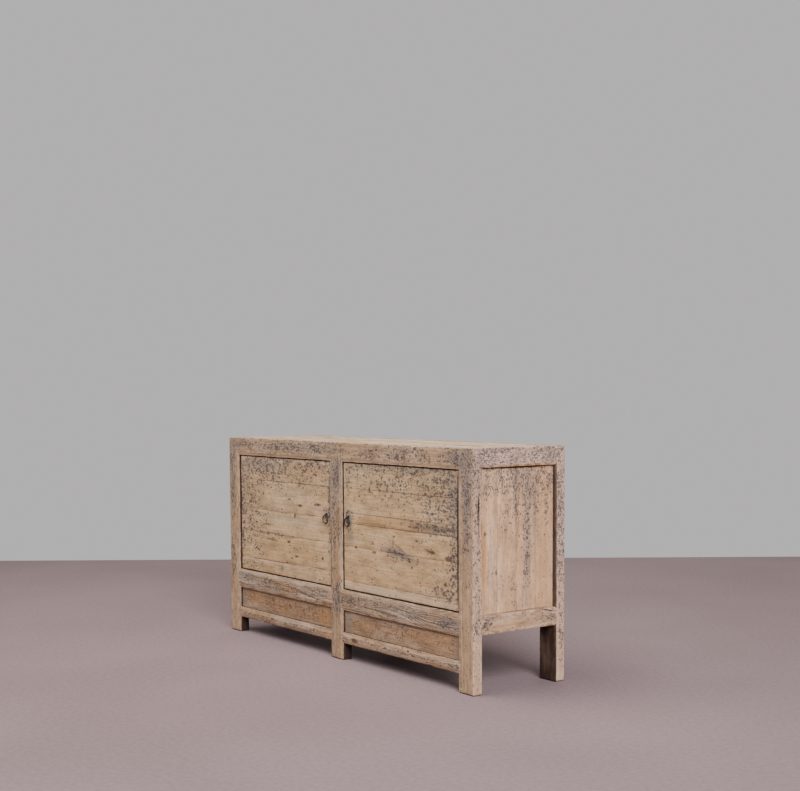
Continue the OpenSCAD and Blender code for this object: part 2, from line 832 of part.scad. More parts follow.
door_ledge_pull(left);  // left_door_ledge_pull
door_pins(left);  // left_door_pins
pull_eye(left);  // left_pull_eye
pull_washer(left);  // left_pull_washer
pull_ring(left);  // left_pull_ring
door_board(right, right_widths, 1);  // right_door_board_1
door_board(right, right_widths, 2);  // right_door_board_2
door_board(right, right_widths, 3);  // right_door_board_3
door_board(right, right_widths, 4);  // right_door_board_4
door_board(right, right_widths, 5);  // right_door_board_5
door_ledge_hinge(right);  // right_door_ledge_hinge
door_ledge_pull(right);  // right_door_ledge_pull
door_pins(right);  // right_door_pins
pull_eye(right);  // right_pull_eye
pull_washer(right);  // right_pull_washer
pull_ring(right);  // right_pull_ring
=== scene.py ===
import math

import bmesh
import bpy
import numpy as np
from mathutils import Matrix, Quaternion, Vector


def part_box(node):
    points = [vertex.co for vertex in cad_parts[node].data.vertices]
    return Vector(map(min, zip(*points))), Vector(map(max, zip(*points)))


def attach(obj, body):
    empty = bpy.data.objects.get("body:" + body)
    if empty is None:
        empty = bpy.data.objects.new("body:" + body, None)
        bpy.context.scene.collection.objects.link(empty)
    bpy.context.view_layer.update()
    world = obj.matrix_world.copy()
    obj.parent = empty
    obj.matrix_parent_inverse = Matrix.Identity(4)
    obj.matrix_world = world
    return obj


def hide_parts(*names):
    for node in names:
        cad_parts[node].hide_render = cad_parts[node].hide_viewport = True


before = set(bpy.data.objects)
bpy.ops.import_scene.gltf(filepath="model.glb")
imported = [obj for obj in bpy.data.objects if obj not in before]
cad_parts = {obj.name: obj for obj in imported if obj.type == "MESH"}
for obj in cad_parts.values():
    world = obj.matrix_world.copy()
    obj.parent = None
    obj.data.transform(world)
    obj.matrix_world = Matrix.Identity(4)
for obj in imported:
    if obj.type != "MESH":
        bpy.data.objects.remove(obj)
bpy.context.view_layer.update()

# Front corner posts: squared softwood legs that stand from the floor to the top. The inner
# edge of the front has a wide shallow bevel, the end face a small one, and the head is
# mitred three ways with the two top rails.
MM = 0.001
SIDES = (("left", False), ("right", True))
case_corner = Vector((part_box("post_front_left")[0].x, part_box("post_front_left")[0].y, 0))
case_w = (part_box("post_front_right")[1].x - case_corner.x) / MM
case_d = (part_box("post_rear_left")[1].y - case_corner.y) / MM


def in_row(points):
    """Points in the case's millimetres (u from the left end, v from the front face, z up) in metres."""
    return np.asarray(points, float) * MM + np.array(case_corner)


def span(node):
    """A node's limits along u, v and z, in the case's millimetres."""
    corners = zip(*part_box(node), case_corner)
    return [((low - origin) / MM, (high - origin) / MM) for low, high, origin in corners]


def smooth(share):
    """A share from 0 to 1, eased in and out."""
    return share * share * (3 - 2 * share)


def square_cut(place):
    """The end of a board that is sawn square, at points of its cross-section."""
    return lambda a, b: place + 0 * a


def new_object(name, data):
    made = bpy.data.objects.new(name, data)
    bpy.context.scene.collection.objects.link(made)
    return made


def finish_mesh(shape, mesh):
    """Writes a shape into a mesh, with its end faces cut up, every face outwards and its edges crisp."""
    bmesh.ops.triangulate(shape, faces=[face for face in shape.faces if len(face.verts) > 4])
    bmesh.ops.recalc_face_normals(shape, faces=shape.faces)
    shape.to_mesh(mesh)
    shape.free()
    mesh.shade_smooth()
    mesh.set_sharp_from_angle(angle=math.radians(40))


def drift(random, along, around, pitch, laps):
    """A smooth field from 0 to 1: along is in millimetres, around runs from 0 to 1 and closes."""
    rows = (along - along.min()) / pitch
    grid = random.random((int(rows.max()) + 2, laps))
    columns = around * laps
    i, j = rows.astype(int), columns.astype(int)
    f, g = smooth(rows - i), smooth(columns - j)
    low = grid[i, j % laps] * (1 - g) + grid[i, (j + 1) % laps] * g
    high = grid[i + 1, j % laps] * (1 - g) + grid[i + 1, (j + 1) % laps] * g
    return low * (1 - f) + high * f


def board_outline(corners, strips, hidden, pitch):
    """The points around a cross-section. Each corner is (a, b, ease). The face that follows a
    corner is a bevel where strips names it, and is painted dark where the list after strips names
    it: painted shade for a face that lies in shadow, with the old grime of a face never cleaned."""
    arc = [math.radians(angle) for angle in (0, 22.5, 45, 67.5, 90)]
    hold, reach = 1.2, 6.5
    worn_beside, worn_near = 0.8, 0.25
    area = sum(a[0] * b[1] - b[0] * a[1] for a, b in zip(corners, corners[1:] + corners[:1]))
    turn = math.copysign(1, area)
    rows = []
    for i, corner in enumerate(corners):
        here = np.array(corner[:2], float)
        back = np.array(corners[i - 1][:2]) - here
        ahead = np.array(corners[(i + 1) % len(corners)][:2]) - here
        length = np.linalg.norm(ahead)
        back, ahead = back / np.linalg.norm(back), ahead / length
        inward = turn * np.array((-ahead[1], ahead[0]))
        inward_back = turn * np.array((back[1], -back[0]))
        bevel, bevel_back = i in strips, (i - 1) % len(corners) in strips
        dark, dark_back = i in hidden, (i - 1) % len(corners) in hidden
        rows.append((here + hold * back, back, inward_back, i, worn_beside, bevel_back, dark_back))
        for angle in arc:
            share = angle / arc[-1]
            normal = inward_back * (1 - share) + inward * share
            shift = back * (1 - math.sin(angle)) + ahead * (1 - math.cos(angle))
            rows.append((here, shift, normal / np.linalg.norm(normal), i, 1.0, bevel or bevel_back,
                         dark_back * (1 - share) + dark * share))
        rows.append((here + hold * ahead, ahead, inward, i, worn_beside, bevel, dark))
        if length > 2 * reach + 3:
            places = np.linspace(reach, length - reach, max(2, math.ceil((length - 2 * reach) / pitch) + 1))
            for place in places:
                worn = worn_near if min(place, length - place) < reach + 0.1 else 0.0
                rows.append((here + place * ahead, np.zeros(2), inward, i, worn, bevel, dark))
    return [np.array(column, float) for column in zip(*rows)]


def closed_mesh(name, u, v, z, mirrored, joined=False):
    """A mesh through rings of points, in the case's millimetres, on the left half of the case or
    mirrored to the right. The last ring is joined to the first, or both ends are closed."""
    rings = np.stack([case_w - u if mirrored else u, v, z], axis=-1)
    rows, count = rings.shape[:2]
    mesh = bpy.data.meshes.new(name)
    faces = []
    for row in range(rows if joined else rows - 1):
        for k in range(count):
            a, b = row * count, (row + 1) % rows * count
            faces.append((a + k, a + (k + 1) % count, b + (k + 1) % count, b + k))
    if not joined:
        faces.append(tuple(range(count)))
        faces.append(tuple((rows - 1) * count + k for k in range(count)))
    mesh.from_pydata(in_row(rings.reshape(-1, 3)).tolist(), [], faces)
    shape = bmesh.new()
    shape.from_mesh(mesh)
    finish_mesh(shape, mesh)
    return new_object(name, mesh)


def worn_board(name, corners, start, end, axis, seed, mirrored=False, strips=(), hidden=(), pitch=12.0,
               eased=(0, 0), sway=0.45, wear=1.0, chips=(), every=420.0):
    """A board with the given cross-section and worn arrises, from start to end along axis.

    start and end give the length coordinate at points of the cross-section, so they cut
    mitres and shoulders. chips are (corner, place, half length, depth), and chance adds others,
    on average the length every apart. sway is how far the faces stray from flat."""
    random = np.random.default_rng(seed)
    base, shift, normal, owner, worn, bevel, dark = board_outline(corners, strips, hidden, pitch)
    owner = owner.astype(int)
    a, b = base.T
    first = np.broadcast_to(start(a, b), a.shape).astype(float)
    last = np.broadcast_to(end(a, b), a.shape).astype(float)
    span_l = float(np.median(last - first))
    rows = []
    quarter = [math.radians(angle) for angle in (0, 30, 60)]
    if eased[0]:
        rows += [(0.0, eased[0] * (1 - math.cos(q)), eased[0] * (1 - math.sin(q))) for q in quarter]
    for share in np.linspace(0, 1, max(3, round(span_l / pitch) + 1)):
        rows.append((share, eased[0] * (1 - share) - eased[1] * share, 0.0))
    if eased[1]:
        rows += [(1.0, -eased[1] * (1 - math.cos(q)), eased[1] * (1 - math.sin(q))) for q in quarter[::-1]]
    share, offset, inset = np.array(rows).T
    length = first + np.outer(share, last - first) + offset[:, None]
    steps = np.hypot(*np.diff(base, axis=0, append=base[:1]).T)
    around = np.concatenate(([0], np.cumsum(steps)[:-1])) / steps.sum()
    lap_w, least_chipped, least_ease = 45, 1.2, 0.15
    laps = max(4, round(steps.sum() / lap_w))
    wave_l, ripple_l, dip_l, nick_l = 110.0, 34.0, 48.0, 15.0
    waves = drift(random, length, np.broadcast_to(around, length.shape), wave_l, laps)
    ripples = drift(random, length, np.broadcast_to(around, length.shape), ripple_l, laps * 2)
    ease = np.zeros_like(length)
    for i, corner in enumerate(corners):
        mine = owner == i
        middle = length[:, mine].mean(axis=1)
        flat = np.zeros_like(middle)
        uneven = 0.6 * drift(random, middle, flat, dip_l, 1) + 0.4 * drift(random, middle, flat, nick_l, 1)
        radius = corner[2] * (0.55 + 0.9 * uneven * wear)
        listed = [chip[1:] for chip in chips if chip[0] == i]
        if corner[2] > least_chipped:
            for _ in range(random.poisson(span_l / every)):
                place, half = random.uniform(middle.min(), middle.max()), random.uniform(6, 24)
                listed.append((place, half, wear * random.uniform(0.5, 2.0)))
        for place, half, depth in listed:
            dent = np.clip(1 - ((middle - place) / half) ** 2, 0, 1)
            radius = radius + depth * dent ** 1.5
        ease[:, mine] = np.maximum(radius, least_ease)[:, None]
    sink = sway * (0.65 * waves + 0.35 * ripples) + inset[:, None]
    cross = base + ease[..., None] * shift + sink[..., None] * normal
    a, b = cross[..., 0], cross[..., 1]
    places = {"u": (length, a, b), "v": (a, length, b), "z": (a, b, length)}[axis]
    piece = closed_mesh(name, *places, mirrored)
    at_end = np.array([float(row[2] > 0 or (abs(row[1]) > 0 and row[0] in (0.0, 1.0))) for row in rows])
    for label, values in (("arris", np.tile(worn, len(rows))), ("bevel", np.tile(bevel, len(rows))),
                          ("hidden", np.tile(dark, len(rows))), ("seam", np.repeat(at_end, len(worn)))):
        layer = piece.data.attributes.new(label, "FLOAT", "POINT")
        layer.data.foreach_set("value", values.astype(np.float32))
    return piece


def put(tree, kind, inputs=(), **settings):
    """Adds a node; an input takes a value or another node's socket. Returns its outputs."""
    made = tree.nodes.new(kind)
    for key, value in settings.items():
        setattr(made, key, value)
    for key, value in dict(inputs).items():
        if isinstance(value, bpy.types.NodeSocket):
            tree.links.new(value, made.inputs[key])
        else:
            made.inputs[key].default_value = value
    return made.outputs


def calc(tree, operation, *values):
    return put(tree, "ShaderNodeMath", enumerate(values), operation=operation)[0]


def times(tree, value, factor):
    return calc(tree, "MULTIPLY", value, factor)


def plus(tree, value, more):
    return calc(tree, "ADD", value, more)


def vector(tree, operation, *values):
    return put(tree, "ShaderNodeVectorMath", enumerate(values), operation=operation)[0]


def scaled(tree, value, factor):
    """A vector or a colour, times a value from another node."""
    return put(tree, "ShaderNodeVectorMath", {0: value, "Scale": factor}, operation="SCALE")[0]


def blend(tree, share, below, above):
    """Mixes two colours by a share."""
    return put(tree, "ShaderNodeMix", {0: share, 6: below, 7: above}, data_type="RGBA")[2]


def fade(tree, value, low, high, to_low=0.0, to_high=1.0):
    """A smooth step of value between two limits."""
    inputs = {0: value, 1: low, 2: high, 3: to_low, 4: to_high}
    return put(tree, "ShaderNodeMapRange", inputs, interpolation_type="SMOOTHSTEP")[0]


def noise(tree, place, fine=None, detail=2.0, rough=0.5):
    """A noise field: its value and its colour. fine is how often it varies in a metre, as one
    number or along each axis."""
    if fine:
        place = vector(tree, "MULTIPLY", place, fine if isinstance(fine, tuple) else (fine, fine, fine))
    inputs = {"Vector": place, "Scale": 1.0, "Detail": detail, "Roughness": rough}
    made = put(tree, "ShaderNodeTexNoise", inputs)
    return made["Fac"], made["Color"]


def tone(red, green, blue):
    """A colour given in display values from 0 to 255, as the shader's linear colour."""
    parts = [channel / 255 for channel in (red, green, blue)]
    return [p / 12.92 if p <= 0.04045 else ((p + 0.055) / 1.055) ** 2.4 for p in parts] + [1.0]


def bare_material(name):
    """A new material and its tree, which has no nodes yet."""
    made = bpy.data.materials.new(name)
    made.use_nodes = True
    made.node_tree.nodes.clear()
    return made, made.node_tree


def new_group(name, inputs, outputs):
    """A shader group; inputs are (name, socket type, value), outputs are names of values."""
    tree = bpy.data.node_groups.new(name, "ShaderNodeTree")
    for label, kind, value in inputs:
        socket = tree.interface.new_socket(label, in_out="INPUT", socket_type="NodeSocket" + kind)
        if value is not None:
            socket.default_value = value
    for label in outputs:
        tree.interface.new_socket(label, in_out="OUTPUT", socket_type="NodeSocketFloat")
    return tree, tree.nodes.new("NodeGroupInput").outputs, tree.nodes.new("NodeGroupOutput").inputs


def make_grain():
    """Softwood grain along X: growth rings round a wandering pith, fibres and open pores."""
    tree, given, made = new_group("softwood_grain", [
        ("Vector", "Vector", None), ("Ring Pitch", "Float", 0.007), ("Wander", "Float", 0.012),
        ("Swirl", "Float", 0.0)], ["Rings", "Fibre", "Pores", "Cloud"])
    place = given["Vector"]
    slow = noise(tree, place, (1.7, 9.0, 9.0))[1]
    bend = scaled(tree, vector(tree, "SUBTRACT", slow, (0.5, 0.5, 0.5)), times(tree, given["Wander"], 4.0))
    x, y, z = put(tree, "ShaderNodeSeparateXYZ", {0: vector(tree, "ADD", place, bend)})[:3]
    radius = calc(tree, "SQRT", plus(tree, times(tree, y, y), times(tree, z, z)))
    uneven = noise(tree, put(tree, "ShaderNodeCombineXYZ", {0: times(tree, radius, 70.0)})[0])[0]
    phase = calc(tree, "DIVIDE", radius, given["Ring Pitch"])
    phase = plus(tree, phase, times(tree, uneven, 2.4))
    phase = plus(tree, phase, given["Swirl"])
    wave = calc(tree, "COSINE", times(tree, phase, math.tau))
    tree.links.new(calc(tree, "POWER", calc(tree, "MULTIPLY_ADD", wave, -0.5, 0.5), 1.8), made["Rings"])
    tree.links.new(noise(tree, place, (16.0, 620.0, 620.0), 3.0, 0.6)[0], made["Fibre"])
    pores = noise(tree, place, (60.0, 900.0, 900.0), 2.0, 0.6)[0]
    tree.links.new(fade(tree, pores, 0.6, 0.72), made["Pores"])
    cloud = noise(tree, place, (3.4, 12.0, 12.0), 4.0, 0.55)[0]
    tree.links.new(fade(tree, cloud, 0.38, 0.62), made["Cloud"])
    return tree


def make_flecks():
    """Flecks of old grey paint and dirt left in the grain along X; Density is from 0 to 1."""
    tree, given, made = new_group("paint_flecks", [
        ("Vector", "Vector", None), ("Density", "Float", 0.2)], ["Mask"])
    total = 0.0
    for along, across in ((74.0, 108.0), (125.0, 185.0)):
        cells = vector(tree, "MULTIPLY", given["Vector"], (along, across, across))
        ragged = noise(tree, cells, 1.9, 5.0, 0.62)
        shift = vector(tree, "SUBTRACT", ragged[1], (0.5, 0.5, 0.5))
        cells = vector(tree, "ADD", cells, vector(tree, "MULTIPLY", shift, (1.3, 1.3, 1.3)))
        cell = put(tree, "ShaderNodeTexVoronoi", {"Vector": cells, "Scale": 1.0})
        chance = put(tree, "ShaderNodeSeparateColor", {0: cell["Color"]})[0]
        size = calc(tree, "SUBTRACT", given["Density"], chance)
        there = calc(tree, "GREATER_THAN", size, 0.0)
        radius = calc(tree, "MULTIPLY_ADD", size, 0.35, 0.44)
        dot = fade(tree, cell["Distance"], calc(tree, "SUBTRACT", radius, 0.22), radius, 1.0, 0.0)
        strength = times(tree, there, fade(tree, ragged[0], 0.35, 0.6, 0.7, 1.0))
        total = calc(tree, "MAXIMUM", total, times(tree, dot, strength))
    tree.links.new(total, made["Mask"])
    return tree


def make_mark():
    """A ragged round patch at a place on the piece, such as a knot or a stain."""
    tree, given, made = new_group("mark", [
        ("Vector", "Vector", None), ("Centre", "Vector", None), ("Size", "Vector", None),
        ("Turn", "Vector", None), ("Ragged", "Float", 0.35), ("Soft", "Float", 0.6)], ["Mask"])
    away = vector(tree, "SUBTRACT", given["Vector"], given["Centre"])
    turned = put(tree, "ShaderNodeVectorRotate", {"Vector": away, "Rotation": given["Turn"]},
                 rotation_type="EULER_XYZ")[0]
    reach = put(tree, "ShaderNodeVectorMath", {0: vector(tree, "DIVIDE", turned, given["Size"])},
                operation="LENGTH")["Value"]
    rough = calc(tree, "SUBTRACT", noise(tree, given["Vector"], 60.0, 3.0)[0], 0.5)
    rough = times(tree, rough, times(tree, given["Ragged"], 3.0))
    inner, outer = (calc(tree, way, 1.0, given["Soft"]) for way in ("SUBTRACT", "ADD"))
    tree.links.new(fade(tree, plus(tree, reach, rough), inner, outer, 1.0, 0.0), made["Mask"])
    return tree


def make_wear():
    """Wear along a board's arrises, where they are rubbed pale or left dirty, and its seams' dirt."""
    tree, given, made = new_group("edge_wear", [
        ("Arris", "Float", 0.0), ("Seam", "Float", 0.0), ("Patchy", "Float", 0.5), ("Mottle", "Float", 0.5)],
        ["Rubbed", "Grimy", "Seam Dirt"])
    edge = fade(tree, given["Arris"], 0.3, 0.95)
    for label, low, high in (("Rubbed", 0.42, 0.62), ("Grimy", 0.52, 0.36)):
        tree.links.new(times(tree, fade(tree, given["Patchy"], low, high), edge), made[label])
    dirt = fade(tree, given["Mottle"], 0.62, 0.3, 0.1, 1.0)
    tree.links.new(times(tree, fade(tree, given["Seam"], 0.75, 1.0), dirt), made["Seam Dirt"])
    return tree


grain_group, fleck_group, mark_group, wear_group = make_grain(), make_flecks(), make_mark(), make_wear()
MARK_DEPTH = 24  # how far a mark reaches into the wood, in millimetres


def filled(rows):
    """Rows of marks, with a strength of 1 and a turn of 0 where they leave them out."""
    return [row + (1.0, 0)[len(row) - 4:] for row in rows]


def front_marks(**kinds):
    """Marks on the front: rows of (u, z, half length, half height, strength, turn in degrees),
    whose last two may be left out."""
    return [(kind, (u, 0, z), (half_u, MARK_DEPTH, half_z), (0, math.radians(turn), 0), strength)
            for kind, rows in kinds.items() for u, z, half_u, half_z, strength, turn in filled(rows)]


def end_marks(face_u=case_w, **kinds):
    """Marks on the right end, where v runs from the front face to the back, or on its boards,
    which lie deeper: rows of (v, z, half length, half height, strength, turn in degrees)."""
    return [(kind, (face_u, v, z), (MARK_DEPTH, half_v, half_z), (math.radians(turn), 0, 0), strength)
            for kind, rows in kinds.items() for v, z, half_v, half_z, strength, turn in filled(rows)]


def inner_marks(**kinds):
    """Marks anywhere in a piece: rows of (u, v, z, half sizes along u, v and z, strength)."""
    return [(kind, row[:3], row[3:6], (0, 0, 0), row[6]) for kind, rows in kinds.items() for row in rows]


def grouped(tree, group, inputs):
    """Places a group node and returns its outputs."""
    made = tree.nodes.new("ShaderNodeGroup")
    made.node_tree = group
    for key, value in inputs.items():
        if isinstance(value, bpy.types.NodeSocket):
            tree.links.new(value, made.inputs[key])
        else:
            made.inputs[key].default_value = value
    return made.outputs


def marks_of(tree, place, marks, kind, ragged, soft):
    """The strongest of the marks of one kind at each point."""
    total = 0.0
    for label, centre, size, turn, strength in marks:
        if label != kind:
            continue
        mask = grouped(tree, mark_group, {
            "Vector": place, "Centre": tuple(in_row(centre)), "Size": [half * MM for half in size],
            "Turn": turn, "Ragged": ragged, "Soft": soft})[0]
        total = calc(tree, "MAXIMUM", total, times(tree, mask, strength))
    return total


GRAIN_ALONG = {"u": (0, 0, 0), "v": (0, 0, math.radians(-90)), "z": (0, math.radians(90), 0)}
# Colours of the marks: mostly stains, but the pink tint is painted light for how the right end is lit, and
# one ochre band is a painted glow.
STAINS_AND_LIGHT = (
    ("ochre", (190, 136, 78), 0.6, 0.35, 0.9), ("pale", (224, 202, 174), 0.6, 0.3, 0.8),
    ("rosy", (222, 180, 154), 0.6, 0.2, 0.8), ("grey", (126, 119, 115), 0.6, 0.35, 0.9),
    ("brown", (88, 64, 50), 0.85, 0.12, 0.6))
RESIN, SUN_BLEACH, PORE_DIRT = tone(186, 146, 96), tone(220, 196, 166), tone(112, 90, 72)
BARE_ARRIS, HAND_GRIME, SEAM_DIRT = tone(220, 198, 168), tone(104, 84, 70), tone(92, 74, 62)
# The first colour on the next line is painted shade: the near-black brown given to faces that lie in shadow,
# with their old grime.
GRIME_AND_SHADE, KNOT_RIM, KNOT_HEART = tone(56, 36, 27), tone(104, 72, 50), tone(66, 46, 36)
PAINT_HAZE, OLD_PAINT, CRACK_SHADOW = tone(132, 121, 113), tone(73, 69, 70), tone(44, 32, 26)


def aged_wood(name, along, seed, light, dark, contrast=0.5, pitch=None, wander=0.012, dirt=0.2,
              ochre=0.45, streaks=0.13, relief=0.35, fleck=1.0, rub=1.0, soil=0.7, marks=()):
    """Dry old softwood with its grain along u, v or z: rings, fibres, stains, knots and flecks of
    old paint, with rubbed arrises and dirty seams where the mesh says so, and painted shade, with
    old grime, on the faces that the mesh marks as lying in shadow. Some marks are painted light and
    shade: a pink tint for the light on the right end, an ochre glow and dark shadow lines. fleck is
    the flecks' size; rub and soil say how much the arrises and the seams show."""
    made, tree = bare_material(name)
    random = np.random.default_rng(seed)
    place = put(tree, "ShaderNodeTexCoord")["Object"]
    arris, bevel, seam, hidden, board = (
        put(tree, "ShaderNodeAttribute", attribute_name=label)["Fac"]
        for label in ("arris", "bevel", "seam", "hidden", "board"))
    pith = random.uniform((0, -0.07, 0.03), (9, 0.07, 0.09))
    mapping = {"Vector": place, "Rotation": GRAIN_ALONG[along], "Location": pith}
    grained = put(tree, "ShaderNodeMapping", mapping)[0]
    apart = put(tree, "ShaderNodeCombineXYZ", {0: times(tree, board, 3.7),
                                               1: times(tree, board, 0.031)})[0]
    grained = vector(tree, "ADD", grained, apart)
    knot = marks_of(tree, place, marks, "knot", 0.2, 0.7)
    rings, fibre, pores, cloud = grouped(tree, grain_group, {
        "Vector": grained, "Ring Pitch": pitch or random.uniform(0.006, 0.014), "Wander": wander,
        "Swirl": times(tree, knot, 3.5)})[:4]
    colour = blend(tree, times(tree, rings, contrast), tone(*light), tone(*dark))
    colour = blend(tree, times(tree, cloud, ochre), colour, RESIN)
    colour = blend(tree, fade(tree, cloud, 0.35, 0.0, 0.0, ochre * 0.6), colour, SUN_BLEACH)
    streak = noise(tree, grained, (7.0, 120.0, 120.0), 3.0, 0.65)[0]
    mottle = noise(tree, grained, (11.0, 27.0, 27.0), 4.0, 0.65)[0]
    speck = noise(tree, grained, (48.0, 115.0, 115.0), 3.0, 0.7)[0]
    shade = plus(tree, fade(tree, fibre, 0.3, 0.7, -0.09, 0.06), fade(tree, speck, 0.34, 0.62, -0.1, 0.05))
    shade = plus(tree, shade, plus(tree, fade(tree, streak, 0.3, 0.7, -streaks, streaks * 0.5),
                                          fade(tree, mottle, 0.32, 0.68, 0.8, 1.12)))
    colour = scaled(tree, colour, shade)
    colour = blend(tree, times(tree, pores, 0.45), colour, PORE_DIRT)
    # These marks are stains, except the pink end tint and one ochre band, which are painted light.
    for kind, paint, strength, ragged, soft in STAINS_AND_LIGHT:
        stain_and_light = marks_of(tree, place, marks, kind, ragged, soft)
        colour = blend(tree, times(tree, stain_and_light, strength), colour, tone(*paint))
    patchy = noise(tree, place, 38.0, 3.0, 0.6)[0]
    wear = grouped(tree, wear_group, {"Arris": arris, "Seam": seam, "Patchy": patchy, "Mottle": mottle})
    for label, strength, paint in (("Rubbed", 0.5 * rub, BARE_ARRIS), ("Grimy", 0.5 * rub, HAND_GRIME),
                                   ("Seam Dirt", soil, SEAM_DIRT)):
        colour = blend(tree, times(tree, wear[label], strength), colour, paint)
    # Faces that the mesh marks as lying in shadow are painted near-black brown: painted shade, with old
    # grime.
    hidden = times(tree, fade(tree, hidden, 0.08, 0.7), fade(tree, mottle, 0.3, 0.7, 1.0, 0.9))
    colour = blend(tree, hidden, colour, scaled(tree, GRIME_AND_SHADE[:3], shade))
    knot_rim = times(tree, fade(tree, knot, 0.3, 0.8), fade(tree, speck, 0.4, 0.6, 0.3, 0.9))
    colour = blend(tree, knot_rim, colour, KNOT_RIM)
    colour = blend(tree, times(tree, fade(tree, knot, 0.7, 1.0), 0.6), colour, KNOT_HEART)
    left = marks_of(tree, place, marks, "flecks", 0.3, 0.9)
    spread = noise(tree, place, 9.0)[0]
    density = calc(tree, "MULTIPLY_ADD", left, 1.3, fade(tree, spread, 0.35, 0.65, dirt * 0.15, dirt * 0.9))
    density = times(tree, density, fade(tree, patchy, 0.38, 0.62, 0.45, 1.4))
    kept = calc(tree, "SUBTRACT", 1.0, times(tree, bevel, 0.6))
    density = calc(tree, "MINIMUM", times(tree, density, kept), 0.8)
    sized = vector(tree, "MULTIPLY", grained, (1 / fleck, 1 / fleck, 1 / fleck))
    paint = grouped(tree, fleck_group, {"Vector": sized, "Density": density})[0]
    colour = blend(tree, times(tree, left, 0.34), colour, PAINT_HAZE)
    colour = blend(tree, times(tree, paint, 0.92), colour, OLD_PAINT)
    # Crack marks paint crack shadow: real cracks, and also painted shadow lines at the feet, at a door's
    # hinge edge and along the end's rails.
    crack = marks_of(tree, place, marks, "crack", 0.12, 0.6)
    colour = blend(tree, crack, colour, CRACK_SHADOW)
    height = calc(tree, "MULTIPLY_ADD", rings, -0.55, times(tree, fibre, 0.5))
    height = calc(tree, "MULTIPLY_ADD", streak, 0.8, height)
    height = calc(tree, "SUBTRACT", height, times(tree, pores, 0.35))
    height = plus(tree, height, times(tree, paint, 0.12))
    height = calc(tree, "SUBTRACT", height, times(tree, crack, 2.0))
    bump = put(tree, "ShaderNodeBump", {"Strength": relief, "Distance": 0.0012, "Height": height})[0]
    dull = calc(tree, "MULTIPLY_ADD", fibre, 0.2, 0.64)
    dull = plus(tree, dull, times(tree, paint, 0.08))
    shader = put(tree, "ShaderNodeBsdfPrincipled", {
        "Base Color": colour, "Roughness": dull, "Normal": bump, "Specular IOR Level": 0.25})[0]
    put(tree, "ShaderNodeOutputMaterial", {"Surface": shader})
    return made


def settle(piece, material, slot, body, *nodes):
    """Finishes a piece: its material, the CAD nodes it stands for, and their body. slot is not used."""
    piece.data.materials.clear()
    piece.data.materials.append(material)
    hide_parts(*nodes)
    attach(piece, body)


TONES = {"frame_wood": ((196, 164, 132), (148, 116, 88))}


def finish_wood(piece, node, slot, along, seed, tones=None, body="root", **looks):
    """Gives a piece its own old wood, in its slot's light and dark tones or others, in a node's place."""
    light, dark = tones or TONES[slot]
    settle(piece, aged_wood(f"{node}_wood", along, seed, light, dark, **looks), slot, body, node)


bevel_w, bevel_d = 17.0, 3.5
end_bevel_w, end_bevel_d = 6.0, 2.5
post_w, front_post_d = (high - low for low, high in span("post_front_left")[:2])
post_h = span("post_front_left")[2][1]
rear_post_d = case_d - span("post_rear_left")[1][0]
top_rail_z = span("top_rail_front")[2]
end_top_rail_z = span("top_rail_left")[2]


def post_head(post_d):
    """The height of a corner post's mitred head at each point of its cross-section."""
    rise, end_rise = top_rail_z[1] - top_rail_z[0], end_top_rail_z[1] - end_top_rail_z[0]
    return lambda u, v: post_h - np.maximum(u * rise / post_w, v * end_rise / post_d)


front_post_corners = [
    (0, 0, 2.4), (post_w - bevel_w, 0, 0.8), (post_w, bevel_d, 1.6), (post_w, front_post_d, 2.0),
    (end_bevel_d, front_post_d, 1.0), (0, front_post_d - end_bevel_w, 0.7)]
front_post_marks = {
    "left": front_marks(
        flecks=[(30, 700, 24, 170, 0.6), (25, 330, 18, 130, 0.45)],
        grey=[(30, 700, 16, 170, 0.7)],
        brown=[(68, 560, 3, 300, 0.5)],
        # The crack at the foot, z 0, is painted contact shadow along the floor, and the one inside the foot
        # is painted shade under the case.
        crack=[(42, 0, 60, 4)]) + inner_marks(
        crack=[(84, 30, 30, 9, 30, 60, 0.55)]),
    "right": front_marks(
        flecks=[(case_w - 36, 700, 24, 190, 0.6), (case_w - 60, 800, 60, 50, 0.5)],
        grey=[(case_w - 36, 690, 18, 170, 1.0), (case_w - 60, 805, 50, 40, 0.9)],
        # The crack rows at the foot, z 0, on the front and on the end face, are painted contact shadow along
        # the floor; the one up the end face is a real crack.
        crack=[(case_w - 42, 0, 60, 4)]) + end_marks(
        crack=[(24, 660, 2.8, 30)],
        brown=[(25, 625, 4, 90, 0.9)],
        ochre=[(38, 540, 4, 130, 1.3)],
        flecks=[(18, 560, 19, 330, 0.4), (20, 250, 14, 50, 0.6), (18, 790, 28, 90, 1.1)]) + inner_marks(
        # This pink patch on the post's end face is painted light: a pinker tint for how the right end is
        # lit.
        rosy=[(case_w, 24, 430, 9, 34, 520, 0.85)],
        crack=[(case_w, 20, 0, 20, 40, 4, 0.8)]),
}
for side, mirrored in SIDES:
    # The post's inner and rear faces are painted dark: painted shade, with old grime.
    post = worn_board(f"worn_post_front_{side}", front_post_corners, square_cut(0), post_head(front_post_d),
                      "z", 11 + mirrored, mirrored, strips=(1, 4), hidden=(2, 3), eased=(1.5, 0))
    finish_wood(post, f"post_front_{side}", "frame_wood", "z", 21 + mirrored, ochre=0.3, fleck=0.85,
                marks=front_post_marks[side])

